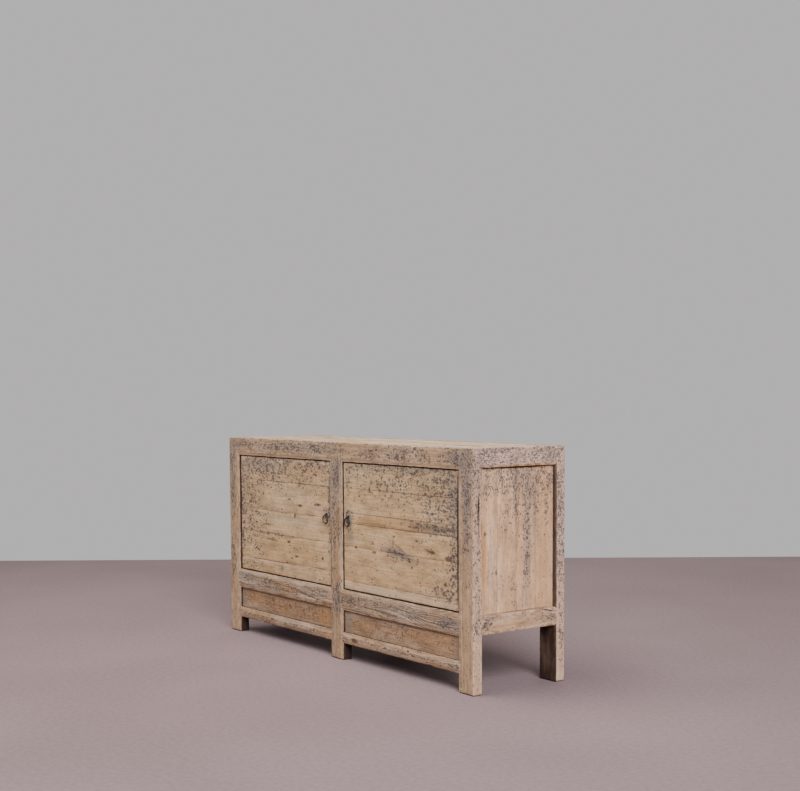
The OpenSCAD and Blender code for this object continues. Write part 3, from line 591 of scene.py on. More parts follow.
# Rear corner posts: like the front ones but a little thicker, plain at the back, with the small
# bevel towards the end panel. Their inner faces are painted dark brown: painted shade, as they lie
# in shadow under the case, with old grime.
rear_face = case_d - rear_post_d
rear_post_corners = [
    (0, case_d, 2.2), (post_w, case_d, 2.0), (post_w, rear_face, 1.8),
    (end_bevel_d, rear_face, 1.0), (0, rear_face + end_bevel_w, 0.7)]
rear_post_marks = end_marks(
    flecks=[(case_d - 18, 620, 22, 280, 0.75), (case_d - 15, 240, 15, 120, 0.6)]) + inner_marks(
    # This pink patch on the post's end face is painted light: a pinker tint for how the right end is lit.
    rosy=[(case_w, case_d - 20, 430, 10, 34, 520, 0.9)],
    # This crack at the foot, z 0, is painted contact shadow along the floor.
    crack=[(case_w - 40, case_d - 30, 0, 90, 60, 4, 0.9)])
rear_head = post_head(rear_post_d)
for side, mirrored in SIDES:
    post = worn_board(f"worn_post_rear_{side}", rear_post_corners, square_cut(0),
                      lambda u, v: rear_head(u, case_d - v), "z", 13 + mirrored, mirrored,
                      strips=(3,), hidden=(1, 2, 3), eased=(1.5, 0))
    finish_wood(post, f"post_rear_{side}", "frame_wood", "z", 23 + mirrored,
                ((212, 178, 152), (168, 134, 108)), streaks=0.09, fleck=0.8,
                marks=rear_post_marks if mirrored else ())

# Centre posts: one between the two bays of the front, bevelled on both edges, whose head laps
# the top rail's bevel with mitred shoulders, and a plain one behind it.
centre_u = span("post_front_centre")[0]
lap_d = 9.0


def tip(across, depth, limits, over):
    """How far a post's or rail's blunt mitred tip, in front of a neighbour's bevel of width over,
    reaches past the square shoulder behind it."""
    rise = np.minimum(across - limits[0], limits[1] - across)
    return np.where(depth < lap_d, np.clip(rise, 0, over), 0)


def bar_corners(a, b, eases):
    """A square cross-section between two pairs of limits, and how far each arris is eased."""
    return [(a[0], b[0], eases[0]), (a[1], b[0], eases[1]), (a[1], b[1], eases[2]), (a[0], b[1], eases[3])]


centre_corners = [
    (centre_u[0], bevel_d, 1.6), (centre_u[0] + bevel_w, 0, 0.8), (centre_u[1] - bevel_w, 0, 0.8),
    (centre_u[1], bevel_d, 1.6), (centre_u[1], front_post_d, 2.0), (centre_u[0], front_post_d, 2.0)]
centre_marks = front_marks(
    flecks=[(850, 730, 34, 90, 0.6), (838, 560, 18, 240, 0.45), (870, 520, 14, 60, 0.5),
            (850, 240, 36, 50, 0.9)],
    grey=[(850, 740, 30, 60, 0.8), (846, 236, 34, 50, 0.7)],
    brown=[(816, 330, 4, 210, 0.6), (868, 590, 8, 14, 0.5)],
    # The crack at the foot, z 0, is painted contact shadow along the floor, and the one inside the foot is
    # painted shade under the case.
    crack=[(850, 0, 60, 4)],
    ochre=[(872, 380, 12, 70, 0.7)]) + inner_marks(
    crack=[(894, 30, 30, 9, 30, 60, 0.75)])
post = worn_board("worn_post_front_centre", centre_corners, square_cut(0),
                  lambda u, v: top_rail_z[0] + tip(u, v, centre_u, bevel_w), "z", 31,
                  strips=(0, 2), hidden=(3, 4, 5), eased=(1.5, 0))
finish_wood(post, "post_front_centre", "frame_wood", "z", 32, ((190, 162, 134), (148, 116, 88)),
            marks=centre_marks)
post = worn_board("worn_post_rear_centre", bar_corners(centre_u, (rear_face, case_d), (2.0, 2.0, 2.0, 2.0)),
                  square_cut(0), square_cut(top_rail_z[0]), "z", 33, hidden=(0, 1, 3), eased=(1.5, 0))
finish_wood(post, "post_rear_centre", "frame_wood", "z", 34)

# Top rails: the front and rear ones run the whole length, the two short ones across the ends.
# They are mitred with the posts on their faces and with each other on the top.
top_frame_w = span("top_rail_left")[0][1]


def long_rail_end(v, z, post_d):
    """Where a long top rail ends, at points of its cross-section: the mitre with the post, and
    behind the post the mitre with the end rail."""
    mitre = post_w * (top_rail_z[1] - z) / (top_rail_z[1] - top_rail_z[0])
    return np.where(v <= post_d, np.maximum(v, mitre), v)


top_front_corners = [
    (bevel_d, top_rail_z[0], 1.6), (0, top_rail_z[0] + bevel_w, 0.8), (0, top_rail_z[1], 2.2),
    (top_frame_w, top_rail_z[1], 0.6), (top_frame_w, top_rail_z[0], 1.8)]
top_front_marks = front_marks(
    flecks=[(150, 830, 110, 22, 0.4), (460, 828, 190, 20, 0.55), (760, 832, 130, 20, 0.6),
            (1060, 822, 90, 18, 0.65), (1320, 824, 130, 22, 0.6), (1620, 820, 100, 34, 0.75)],
    grey=[(1640, 825, 60, 24, 1.1), (60, 830, 60, 26, 0.9), (560, 826, 250, 14, 0.5)],
    pale=[(1360, 842, 12, 18)],
    knot=[(1368, 850, 12, 8)]) + inner_marks(
    pale=[(850, 30, 862, 760, 20, 4, 0.8)])
rail = worn_board("worn_top_rail_front", top_front_corners,
                  lambda v, z: long_rail_end(v, z, front_post_d),
                  lambda v, z: case_w - long_rail_end(v, z, front_post_d), "u", 41,
                  strips=(0,), hidden=(3, 4), sway=0.6,
                  chips=[(2, 1356, 16, 5), (2, 1381, 9, 3), (2, 330, 14, 2)])
finish_wood(rail, "top_rail_front", "frame_wood", "u", 42, ochre=0.3, dirt=0.3, marks=top_front_marks)
top_rear_corners = [(case_d, top_rail_z[0], 2.0), (case_d, top_rail_z[1], 2.2),
                    (case_d - top_frame_w, top_rail_z[1], 0.6), (case_d - top_frame_w, top_rail_z[0], 1.8)]
rail = worn_board("worn_top_rail_rear", top_rear_corners,
                  lambda v, z: long_rail_end(case_d - v, z, rear_post_d),
                  lambda v, z: case_w - long_rail_end(case_d - v, z, rear_post_d), "u", 43, hidden=(2, 3))
finish_wood(rail, "top_rail_rear", "frame_wood", "u", 44)


def end_rail_limit(u, z, post_d):
    """The mitre of an end top rail with a post, and behind the post with the long rail."""
    rise = end_top_rail_z[1] - end_top_rail_z[0]
    return np.maximum(u, post_d * (end_top_rail_z[1] - z) / rise)


end_top_corners = [
    (end_bevel_d, end_top_rail_z[0], 1.2), (0, end_top_rail_z[0] + end_bevel_w, 0.7),
    (0, end_top_rail_z[1], 2.4), (top_frame_w, end_top_rail_z[1], 0.6),
    (top_frame_w, end_top_rail_z[0], 1.8)]
end_top_marks = end_marks(
    flecks=[(58, 830, 54, 46, 0.85), (200, 828, 150, 44, 0.5), (380, 830, 70, 44, 0.6)],
    # This ochre band on the rail's lower bevel is painted light: a warm glow of light bounced up under the
    # rail.
    ochre=[(240, 795, 170, 6, 1.6)],
    knot=[(180, 856, 9, 3), (280, 856, 4, 3)])
for side, mirrored in SIDES:
    # The rail's inner face and underside are painted dark: painted shade, with old grime.
    rail = worn_board(f"worn_top_rail_{side}", end_top_corners,
                      lambda u, z: end_rail_limit(u, z, front_post_d),
                      lambda u, z: case_d - end_rail_limit(u, z, rear_post_d), "v", 45 + mirrored, mirrored,
                      strips=(0,), hidden=(3, 4), sway=0.6)
    finish_wood(rail, f"top_rail_{side}", "end_wood", "v", 47 + mirrored, ((218, 182, 160), (178, 144, 124)),
                ochre=0.12, dirt=0.35, fleck=0.68, marks=end_top_marks if mirrored else ())

# Rails of the front: two wide ones under the doors and two narrow ones at the foot. Their
# shoulders run out in mitred tips over the posts' bevels.
bay_u = (post_w, centre_u[0])
bay_marks = {
    "middle_rail_left": front_marks(
        grey=[(260, 240, 150, 22, 0.55), (660, 236, 110, 20, 0.5)],
        crack=[(560, 240, 90, 1.8, 0.55, -8), (640, 226, 110, 1.8, 0.6, -5), (700, 246, 80, 1.6, 0.5, -10),
               (400, 250, 120, 1.5, 0.5, -4), (300, 222, 150, 1.3, 0.45, 2)],
        flecks=[(420, 240, 330, 34, 0.2)],
        ochre=[(480, 232, 60, 16, 0.5)],
        pale=[(250, 274, 170, 6, 0.6), (690, 274, 110, 6, 0.5)]),
    "middle_rail_right": front_marks(
        flecks=[(1560, 236, 80, 22, 0.4), (930, 240, 40, 26, 0.6), (1250, 238, 330, 34, 0.16)],
        grey=[(1250, 240, 300, 24, 0.5), (1560, 238, 80, 22, 0.8)],
        crack=[(1330, 246, 150, 1.6, 0.5, -3), (1100, 228, 110, 1.3, 0.4, -2),
               (1480, 226, 140, 1.4, 0.5, -2)]),
    "bottom_rail_left": front_marks(
        ochre=[(300, 92, 120, 12, 0.4)],
        brown=[(430, 68, 380, 5, 0.6), (560, 76, 120, 5, 0.5)],
        flecks=[(450, 84, 350, 12, 0.5)]),
    "bottom_rail_right": front_marks(
        knot=[(975, 89, 24, 10)],
        crack=[(1050, 103, 4, 2.5), (1320, 100, 6, 3.2)],
        flecks=[(1595, 86, 34, 12, 0.8), (1250, 84, 330, 12, 0.4)],
        brown=[(1260, 68, 370, 5, 0.6)]),
}
bay_chips = {
    "middle_rail_left": [(3, 580, 11, 6)], "bottom_rail_left": [(0, 300, 18, 3), (0, 620, 24, 2.5)],
    "bottom_rail_right": [(0, 418, 20, 6), (0, 580, 40, 3), (0, 250, 30, 4), (0, 740, 16, 3)],
}
bay_tones = {
    "middle_rail": ((214, 184, 156), (112, 90, 73)),
    "bottom_rail": ((196, 164, 135), (144, 115, 91)),
}
for place, (row, tones) in enumerate(bay_tones.items()):
    for side, mirrored in SIDES:
        node = f"{row}_{side}"
        depth, z = span(node)[1:]
        corners = [(bevel_d, z[0], 1.6), (0, z[0] + bevel_w, 0.8), (0, z[1] - bevel_w, 0.8),
                   (bevel_d, z[1], 1.6), (depth[1], z[1], 1.8), (depth[1], z[0], 1.8)]
        rail = worn_board(f"worn_{node}", corners, lambda v, height: bay_u[0] - tip(height, v, z, bevel_w),
                          lambda v, height: bay_u[1] + tip(height, v, z, bevel_w), "u",
                          51 + 2 * place + mirrored, mirrored, strips=(0, 2), hidden=(3, 4, 5), sway=0.8,
                          chips=bay_chips.get(node, ()))
        finish_wood(rail, node, "frame_wood", "u", 55 + 2 * place + mirrored, tones, pitch=0.0055, dirt=0.25,
                    contrast=0.85 - 0.3 * place, wander=0.03 - 0.012 * place, streaks=0.26 - 0.1 * place,
                    relief=1.0 - 0.4 * place, rub=0.35, marks=bay_marks[node])

# Lower panels: a single thin board in the grooves of each lower opening, with a patch of
# orange in its middle where the old finish was rubbed through, and grey dirt at the edges.
panel_marks = {
    "left": front_marks(
        ochre=[(200, 160, 60, 16, 1.25), (750, 154, 56, 24, 1.0), (450, 152, 280, 22, 0.6)],
        knot=[(345, 172, 13, 9), (660, 150, 7, 10), (480, 165, 10, 8), (590, 160, 9, 6)],
        flecks=[(430, 158, 340, 30, 0.42)],
        brown=[(300, 176, 70, 5, 0.5), (455, 144, 12, 9, 0.5), (730, 170, 9, 12, 0.6)],
        grey=[(98, 156, 18, 50, 1.1), (450, 197, 380, 6, 1.0), (450, 114, 380, 4, 0.9)]),
    "right": front_marks(
        ochre=[(1290, 154, 320, 24, 0.65)],
        grey=[(915, 156, 26, 50, 1.1), (1270, 197, 380, 6, 0.9), (1604, 156, 20, 50, 0.9)],
        flecks=[(1250, 160, 350, 34, 0.36)],
        brown=[(1180, 168, 60, 5, 0.4), (1400, 140, 50, 6, 0.4)]),
}
panel_u, panel_v, panel_z = span("lower_panel_left")
panel_corners = [(panel_v[0], panel_z[0], 0.6), (panel_v[0], panel_z[1], 0.6), (panel_v[1], panel_z[1], 0.6),
                 (panel_v[1], panel_z[0], 0.6)]
for side, mirrored in SIDES:
    node = f"lower_panel_{side}"
    panel = worn_board(f"worn_{node}", panel_corners, square_cut(panel_u[0]), square_cut(panel_u[1]), "u",
                       61 + mirrored, mirrored, hidden=(2,), sway=0.9)
    finish_wood(panel, node, "panel_wood", "u", 63 + mirrored, ((170, 139, 110), (130, 101, 78)), ochre=0.35,
                dirt=0.12, fleck=0.7, marks=panel_marks[side])

# Lower rails of the ends and the back: square sawn rails between the posts. Those of the ends
# show, with small mitred shoulders; those of the back are plain.
end_rail_u, end_rail_z = span("end_rail_left")[0], span("end_rail_left")[2]
end_rail_corners = [
    (end_bevel_d, end_rail_z[0], 1.0), (0, end_rail_z[0] + end_bevel_w, 0.7),
    (0, end_rail_z[1] - end_bevel_w, 0.7), (end_bevel_d, end_rail_z[1], 1.0),
    (end_rail_u[1], end_rail_z[1], 1.5), (end_rail_u[1], end_rail_z[0], 1.5)]
end_rail_marks = end_marks(
    flecks=[(64, 248, 34, 15, 1.0, -36), (100, 262, 30, 7, 0.4), (350, 252, 44, 22, 0.45)],
    brown=[(54, 243, 26, 5, 0.85, -42)],
    crack=[(350, 268, 34, 1.6, 1.0, 12)],
    ochre=[(230, 214, 160, 6, 0.4)])
for side, mirrored in SIDES:
    rail = worn_board(f"worn_end_rail_{side}", end_rail_corners,
                      lambda u, z: front_post_d - tip(z, u, end_rail_z, end_bevel_w),
                      lambda u, z: rear_face + tip(z, u, end_rail_z, end_bevel_w), "v", 71 + mirrored,
                      mirrored, strips=(0, 2), hidden=(4, 5), sway=0.6)
    finish_wood(rail, f"end_rail_{side}", "end_wood", "v", 73 + mirrored, ((208, 172, 144), (166, 130, 104)),
                fleck=0.85, marks=end_rail_marks if mirrored else ())
    height = span(f"rear_rail_{side}")[2]
    corners = [(rear_face, height[0], 1.8), (rear_face, height[1], 1.8), (case_d, height[1], 1.8),
               (case_d, height[0], 1.8)]
    rail = worn_board(f"worn_rear_rail_{side}", corners, square_cut(bay_u[0]), square_cut(bay_u[1]), "u",
                      75 + mirrored, mirrored, hidden=(0, 3))
    finish_wood(rail, f"rear_rail_{side}", "frame_wood", "u", 77 + mirrored)

# Door boards: five level boards to each door, tongued together. The hinge edge is round
# about the pivot pins, so that the door turns clear of the post.
door_u, door_v = span("left_door_board_1")[:2]
pivot_r = 8.0
seam_gap = 0.35


def bowed_seam(u):
    """The rise of the left door's lowest seam, which curves up towards the pull."""
    climb, drop = 10, 4
    return climb * ((u - door_u[0]) / (door_u[1] - door_u[0])) ** 2 - drop


board_tones = {
    "left": ((212, 178, 134), (217, 182, 136), (220, 186, 144), (218, 184, 142), (219, 187, 147)),
    "right": ((224, 192, 154), (218, 182, 138), (215, 179, 132), (218, 184, 139), (214, 181, 136)),
}
door_marks = {
    "left": front_marks(
        flecks=[(450, 800, 400, 110, 0.6), (250, 742, 170, 38, 0.85), (700, 764, 120, 16, 0.75),
                (330, 674, 190, 18, 0.5), (106, 560, 22, 250, 0.7), (798, 600, 13, 210, 0.6),
                (784, 566, 26, 30, 0.7), (300, 568, 230, 6, 0.35), (300, 457, 220, 6, 0.45),
                (180, 560, 90, 230, 0.42)],
        grey=[(250, 752, 160, 24, 0.7), (130, 640, 26, 130, 0.4), (800, 650, 12, 120, 0.8),
              (784, 566, 24, 28, 1.3), (430, 318, 11, 9, 1.6)],
        brown=[(300, 750, 90, 8, 0.25), (340, 433, 46, 5, 0.7), (424, 314, 6, 5, 0.5),
               (310, 496, 28, 5, 0.8)],
        ochre=[(640, 735, 150, 22, 0.55)],
        crack=[(650, 681, 110, 1.3, 0.5), (330, 340, 150, 1.7, 0.7), (740, 344, 60, 2.0, 0.6)],
        knot=[(485, 434, 16, 7), (490, 613, 15, 5), (545, 378, 19, 6), (742, 388, 10, 7),
              (232, 382, 20, 6, 1.0, -24), (788, 421, 8, 7), (470, 345, 9, 5), (576, 592, 20, 7),
              (708, 603, 30, 7), (534, 546, 9, 12)],
        pale=[(520, 520, 220, 20, 0.5)]),
    "right": front_marks(
        flecks=[(1300, 800, 400, 110, 0.6), (1520, 690, 120, 120, 0.7), (1150, 766, 260, 22, 0.5),
                (1596, 580, 28, 240, 0.85), (1260, 700, 280, 50, 0.35), (930, 560, 24, 34, 0.7),
                (925, 690, 18, 90, 0.4), (1268, 450, 92, 20, 0.6, -9), (1500, 566, 140, 20, 0.75),
                (1530, 345, 76, 30, 0.7), (1578, 420, 30, 60, 0.75)],
        grey=[(1592, 660, 38, 130, 0.9), (1450, 770, 170, 10, 0.8), (1180, 768, 300, 14, 0.45),
              (930, 556, 22, 32, 1.4), (940, 490, 30, 20, 0.9), (1258, 455, 84, 16, 1.2, -8),
              (1510, 564, 130, 15, 0.6)],
        brown=[(1265, 452, 74, 8, 0.6, -9), (1222, 484, 2.5, 34, 0.8), (1095, 541, 60, 4, 0.6),
               (1280, 547, 340, 2.2, 0.75), (1150, 553, 130, 6, 0.35), (1450, 568, 180, 16, 0.48),
               (1300, 586, 320, 2.0, 0.6)],
        crack=[(1262, 478, 40, 1.8, 0.8, -24), (1250, 588, 330, 1.1, 0.45), (1450, 618, 120, 1.0, 0.35),
               # This long crack down the door's hinge edge is painted shade: the dark gap beside the post.
               (1606, 533, 3.4, 252, 0.9)],
        knot=[(1452, 481, 38, 8, 1.0, -9), (1550, 465, 18, 10), (1100, 447, 16, 7), (1370, 512, 12, 6),
              (1536, 372, 11, 8), (980, 455, 12, 6)],
        ochre=[(1200, 566, 330, 17, 0.6), (1450, 360, 90, 16, 0.5), (1120, 425, 140, 14, 0.35)],
        pale=[(1250, 303, 380, 11, 0.6)]),
}
for side, mirrored in SIDES:
    for number, light in enumerate(board_tones[side], 1):
        node = f"{side}_door_board_{number}"
        low, high = span(node)[2]
        if number > 1:
            low += seam_gap / 2
        if number < 5:
            high = span(f"{side}_door_board_{number + 1}")[2][0] - seam_gap / 2
        bowed_low = side == "left" and number == 2
        bowed_high = side == "left" and number == 1
        # The hinge and closing edges are painted dark: painted shade for the gaps beside the posts.
        board = worn_board(f"worn_{node}", bar_corners(door_u, door_v, (pivot_r, 1.3, 1.5, 1.5)),
                           lambda u, v: low + bowed_low * bowed_seam(u),
                           lambda u, v: high + bowed_high * bowed_seam(u), "z", 80 + 10 * mirrored + number,
                           mirrored, hidden=(1, 3), eased=(0.6, 0.6), sway=0.5, wear=0.7)
        finish_wood(board, node, "door_wood", "u", 100 + 10 * mirrored + number, (light, (180, 144, 106)),
                    f"{side}_door", contrast=0.4, wander=0.016, dirt=0.13, ochre=0.3, fleck=1.25,
                    marks=door_marks[side])

# Rows of boards: the top's four long boards, set flush inside its rails; the four upright boards
# of each end; the upright boards of the back; the boards of the floor and of the shelf.
TONES["inner_wood"] = (162, 132, 103), (112, 86, 66)


def make_plank_row():
    """Boards side by side along X, each standing along Z, with eased arrises and uneven faces."""
    tree = bpy.data.node_groups.new("plank_row", "GeometryNodeTree")
    sizes = {"Length": 0.5, "Width": 0.4, "Thickness": 0.012, "Gap": 0.0005, "Arris": 0.0012,
             "Unevenness": 0.001}
    for label, value in sizes.items():
        tree.interface.new_socket(label, in_out="INPUT", socket_type="NodeSocketFloat").default_value = value
    for label, value in (("Count", 4), ("Seed", 1)):
        tree.interface.new_socket(label, in_out="INPUT", socket_type="NodeSocketInt").default_value = value
    tree.interface.new_socket("Material", in_out="INPUT", socket_type="NodeSocketMaterial")
    tree.interface.new_socket("Geometry", in_out="OUTPUT", socket_type="NodeSocketGeometry")
    given = tree.nodes.new("NodeGroupInput").outputs
    pitch = calc(tree, "DIVIDE", given["Width"], given["Count"])
    board_w = calc(tree, "SUBTRACT", pitch, given["Gap"])
    section = {"Width": board_w, "Height": given["Thickness"]}
    section = put(tree, "GeometryNodeCurvePrimitiveQuadrilateral", section)[0]
    section = {"Curve": section, "Count": 2, "Radius": given["Arris"]}
    section = put(tree, "GeometryNodeFilletCurve", section, mode="POLY")[0]
    section = put(tree, "GeometryNodeSubdivideCurve", {"Curve": section, "Cuts": 3})[0]
    far_end = put(tree, "ShaderNodeCombineXYZ", {2: given["Length"]})[0]
    line = put(tree, "GeometryNodeCurvePrimitiveLine", {"End": far_end})[0]
    line = put(tree, "GeometryNodeSubdivideCurve", {"Curve": line, "Cuts": 30})[0]
    board = {"Curve": line, "Profile Curve": section, "Fill Caps": True}
    board = put(tree, "GeometryNodeCurveToMesh", board)[0]
    x, y = put(tree, "ShaderNodeSeparateXYZ", {0: put(tree, "GeometryNodeInputPosition")[0]})[:2]
    reach_x = calc(tree, "MULTIPLY_ADD", board_w, 0.5, times(tree, given["Arris"], -1.6))
    edge = calc(tree, "GREATER_THAN", calc(tree, "ABSOLUTE", x), reach_x)
    board = put(tree, "GeometryNodeStoreNamedAttribute", {"Geometry": board, "Name": "seam", "Value": edge},
                data_type="FLOAT", domain="POINT")[0]
    step = put(tree, "ShaderNodeCombineXYZ", {0: pitch})[0]
    first = put(tree, "ShaderNodeCombineXYZ", {0: calc(tree, "DIVIDE", pitch, 2.0)})[0]
    places = {"Count": given["Count"], "Start Location": first, "Offset": step}
    places = put(tree, "GeometryNodeMeshLine", places)[0]
    row = put(tree, "GeometryNodeInstanceOnPoints", {"Points": places, "Instance": board})[0]
    number = put(tree, "GeometryNodeInputIndex")[0]
    row = put(tree, "GeometryNodeStoreNamedAttribute", {"Geometry": row, "Name": "board", "Value": number},
              data_type="FLOAT", domain="INSTANCE")[0]
    row = put(tree, "GeometryNodeRealizeInstances", {"Geometry": row})[0]
    own = put(tree, "GeometryNodeInputNamedAttribute", {"Name": "board"}, data_type="FLOAT")[0]
    own = plus(tree, times(tree, own, 5.1), times(tree, given["Seed"], 7.3))
    spread = vector(tree, "MULTIPLY", put(tree, "GeometryNodeInputPosition")[0], (14.0, 14.0, 5.0))
    spread = vector(tree, "ADD", spread, put(tree, "ShaderNodeCombineXYZ", {0: own, 1: own, 2: own})[0])
    wave = vector(tree, "SUBTRACT", noise(tree, spread)[1], (0.5, 0.5, 0.5))
    shift = scaled(tree, vector(tree, "MULTIPLY", wave, (0.3, 2.0, 0.3)), given["Unevenness"])
    row = put(tree, "GeometryNodeSetPosition", {"Geometry": row, "Offset": shift})[0]
    row = put(tree, "GeometryNodeSetMaterial", {"Geometry": row, "Material": given["Material"]})[0]
    tree.links.new(row, tree.nodes.new("NodeGroupOutput").inputs["Geometry"])
    return tree


plank_row = make_plank_row()


def boards(name, limits, along, across, count, seed, wood, gap=0.6, arris=1.2, unevenness=1.0):
    """A row of boards that fills the limits (u, v, z): each runs along one axis, and they lie
    side by side across another."""
    axes = {"u": 0, "v": 1, "z": 2}
    i, j = axes[along], axes[across]
    k = 3 - i - j
    size = [(high - low) * MM for low, high in limits]
    carrier = new_object(name, bpy.data.meshes.new(name))
    rule = carrier.modifiers.new("boards", "NODES")
    rule.node_group = plank_row
    inputs = {"Length": size[i], "Width": size[j], "Thickness": size[k] - 1.2 * unevenness * MM,
              "Count": count, "Gap": gap * MM, "Arris": arris * MM, "Unevenness": unevenness * MM,
              "Seed": seed, "Material": wood}
    for socket in plank_row.interface.items_tree:
        if socket.item_type == "SOCKET" and socket.in_out == "INPUT":
            rule[socket.identifier] = inputs[socket.name]
    shape = bpy.data.meshes.new_from_object(carrier.evaluated_get(bpy.context.evaluated_depsgraph_get()))
    carrier.modifiers.remove(rule)
    points = np.empty(len(shape.vertices) * 3)
    shape.vertices.foreach_get("co", points)
    points = points.reshape(-1, 3)
    placed = np.empty_like(points)
    placed[:, i] = points[:, 2] + limits[i][0] * MM
    placed[:, j] = points[:, 0] + limits[j][0] * MM
    placed[:, k] = points[:, 1] + sum(limits[k]) / 2 * MM
    shape.vertices.foreach_set("co", (placed + np.array(case_corner)).ravel())
    fixed = bmesh.new()
    fixed.from_mesh(shape)
    finish_mesh(fixed, shape)
    carrier.data = shape
    return carrier


top_nodes = [f"top_board_{number}" for number in range(1, 5)]
top_limits = [(min(low for low, _ in reach), max(high for _, high in reach))
              for reach in zip(*(span(node) for node in top_nodes))]
top_marks = inner_marks(
    flecks=[(1480, 150, 860, 160, 60, 6, 0.35), (400, 250, 860, 260, 60, 6, 0.28)],
    knot=[(700, 180, 860, 16, 9, 6, 1.0), (1220, 310, 860, 20, 10, 6, 1.0)],
    ochre=[(1000, 220, 860, 300, 50, 6, 0.6)])
top_wood = aged_wood("top_boards_wood", "u", 131, (230, 202, 170), (194, 160, 126), dirt=0.22,
                     marks=top_marks)
row = boards("worn_top_boards", top_limits, "u", "v", 4, 3, top_wood, unevenness=0.7)
settle(row, top_wood, "top_wood", "root", *top_nodes)

board_face_u = 1680
end_board_marks = end_marks(
    flecks=[(210, 735, 16, 80, 1.4), (216, 620, 12, 110, 0.35), (260, 735, 18, 75, 1.2),
            (262, 570, 15, 150, 0.65), (72, 740, 12, 60, 0.4), (250, 745, 140, 55, 0.6),
            (255, 480, 15, 120, 0.5), (165, 620, 30, 60, 0.3), (305, 690, 14, 110, 0.5),
            (352, 690, 10, 120, 0.5), (215, 785, 175, 26, 0.35), (190, 380, 12, 60, 0.3)],
    ochre=[(332, 490, 44, 260, 0.72), (170, 430, 34, 170, 0.5), (226, 590, 18, 180, 0.6),
           (55, 490, 13, 150, 1.5), (216, 600, 8, 120, 0.7), (300, 550, 10, 90, 0.6)],
    grey=[(284, 590, 30, 130, 0.45), (266, 470, 12, 190, 0.6), (262, 690, 14, 100, 0.4)],
    brown=[(66, 560, 5, 8), (118, 420, 4, 7), (52, 455, 2, 30, 0.5)],
    # The two long crack lines on the end boards are painted shadow: under the top rail and above the end
    # rail.
    crack=[(215, 789, 175, 3.6, 0.85), (215, 277, 175, 1.6, 0.6)], face_u=board_face_u)
for side, mirrored in SIDES:
    node = f"end_boards_{side}"
    wood = aged_wood(f"{node}_wood", "z", 133 + mirrored, (222, 181, 144), (192, 150, 116), contrast=0.35,
                     dirt=0.2, ochre=0.25, streaks=0.08, fleck=0.8, soil=0.25,
                     marks=end_board_marks if mirrored else ())
    row = boards(f"worn_{node}", span(node), "z", "v", 4, 5 + mirrored, wood, gap=0.1, arris=0.5,
                 unevenness=0.3)
    settle(row, wood, "end_wood", "root", node)
    node = f"back_boards_{side}"
    wood = aged_wood(f"{node}_wood", "z", 135 + mirrored, (178, 148, 118), (126, 98, 76), dirt=0.12)
    row = boards(f"worn_{node}", span(node), "z", "u", 5, 7 + mirrored, wood, gap=0.8)
    settle(row, wood, "panel_wood", "root", node)
for order, (node, count, arris) in enumerate((("floor_boards", 4, 1.2), ("shelf_boards", 3, 1.6))):
    wood = aged_wood(f"{node}_wood", "u", 137 + order, *TONES["inner_wood"])
    row = boards(f"worn_{node}", span(node), "u", "v", count, 9 + order, wood, gap=1.0, arris=arris)
    settle(row, wood, "inner_wood", "root", node)

# Bars that carry the boards: two battens under the top, five bearers under the floor and three
# under the shelf, let into the rails, and the stop that each door closes on.
bearer_w = {"top_battens": 36, "floor_bearers": 30, "shelf_bearers": 22}
bearer_u = {"top_battens": (470, case_w - 470), "floor_bearers": (49, 445, 850, 1255, 1651),
            "shelf_bearers": (39, 850, 1661)}


def gathered(name, pieces):
    """Several finished bars as one object."""
    shape = bmesh.new()
    for piece in pieces:
        shape.from_mesh(piece.data)
        bpy.data.objects.remove(piece)
    mesh = bpy.data.meshes.new(name)
    finish_mesh(shape, mesh)
    return new_object(name, mesh)


for order, (node, middles) in enumerate(bearer_u.items()):
    v, z = span(node)[1:]
    half_w = bearer_w[node] / 2
    bars = []
    for number, middle in enumerate(middles):
        corners = bar_corners((middle - half_w, middle + half_w), z, (1.8, 1.8, 0.8, 0.8))
        bars.append(worn_board(f"{node}_{number}", corners, square_cut(v[0]), square_cut(v[1]), "v",
                               141 + 10 * order + number, wear=0.7))
    finish_wood(gathered(f"worn_{node}", bars), node, "inner_wood", "v", 144 + order)
stop_v, stop_z = span("door_stops")[1:]
stop_u = (span("door_stops")[0][0], centre_u[0])
bars = [worn_board(f"stop_{number}", bar_corners(place, stop_v, (1.0, 1.0, 1.0, 1.0)), square_cut(stop_z[0]),
                   square_cut(stop_z[1]), "z", 171 + number, eased=(1, 1), wear=0.7)
        for number, place in enumerate((stop_u, (case_w - stop_u[1], case_w - stop_u[0])))]
finish_wood(gathered("worn_door_stops", bars), "door_stops", "inner_wood", "z", 173)

# Door ledges: two upright bars behind each door that hold its boards together, nailed on.
for side, mirrored in SIDES:
    for number, edge in enumerate(("hinge", "pull")):
        node = f"{side}_door_ledge_{edge}"
        u, v, z = span(f"left_door_ledge_{edge}")
        ledge = worn_board(f"worn_{node}", bar_corners(u, v, (0.8, 0.8, 2.2, 2.2)), square_cut(z[0]),
                           square_cut(z[1]), "z", 121 + number + 2 * mirrored, mirrored,
                           eased=(1.2, 1.2), wear=0.7)
        finish_wood(ledge, node, "inner_wood", "z", 125 + number + 2 * mirrored, body=f"{side}_door")

# Pulls: a forged ring hangs in a strap eye whose two legs go through the door and are bent
# over behind it. The washer, eye and ring are dark rusty iron, as are the doors' pivot pins.


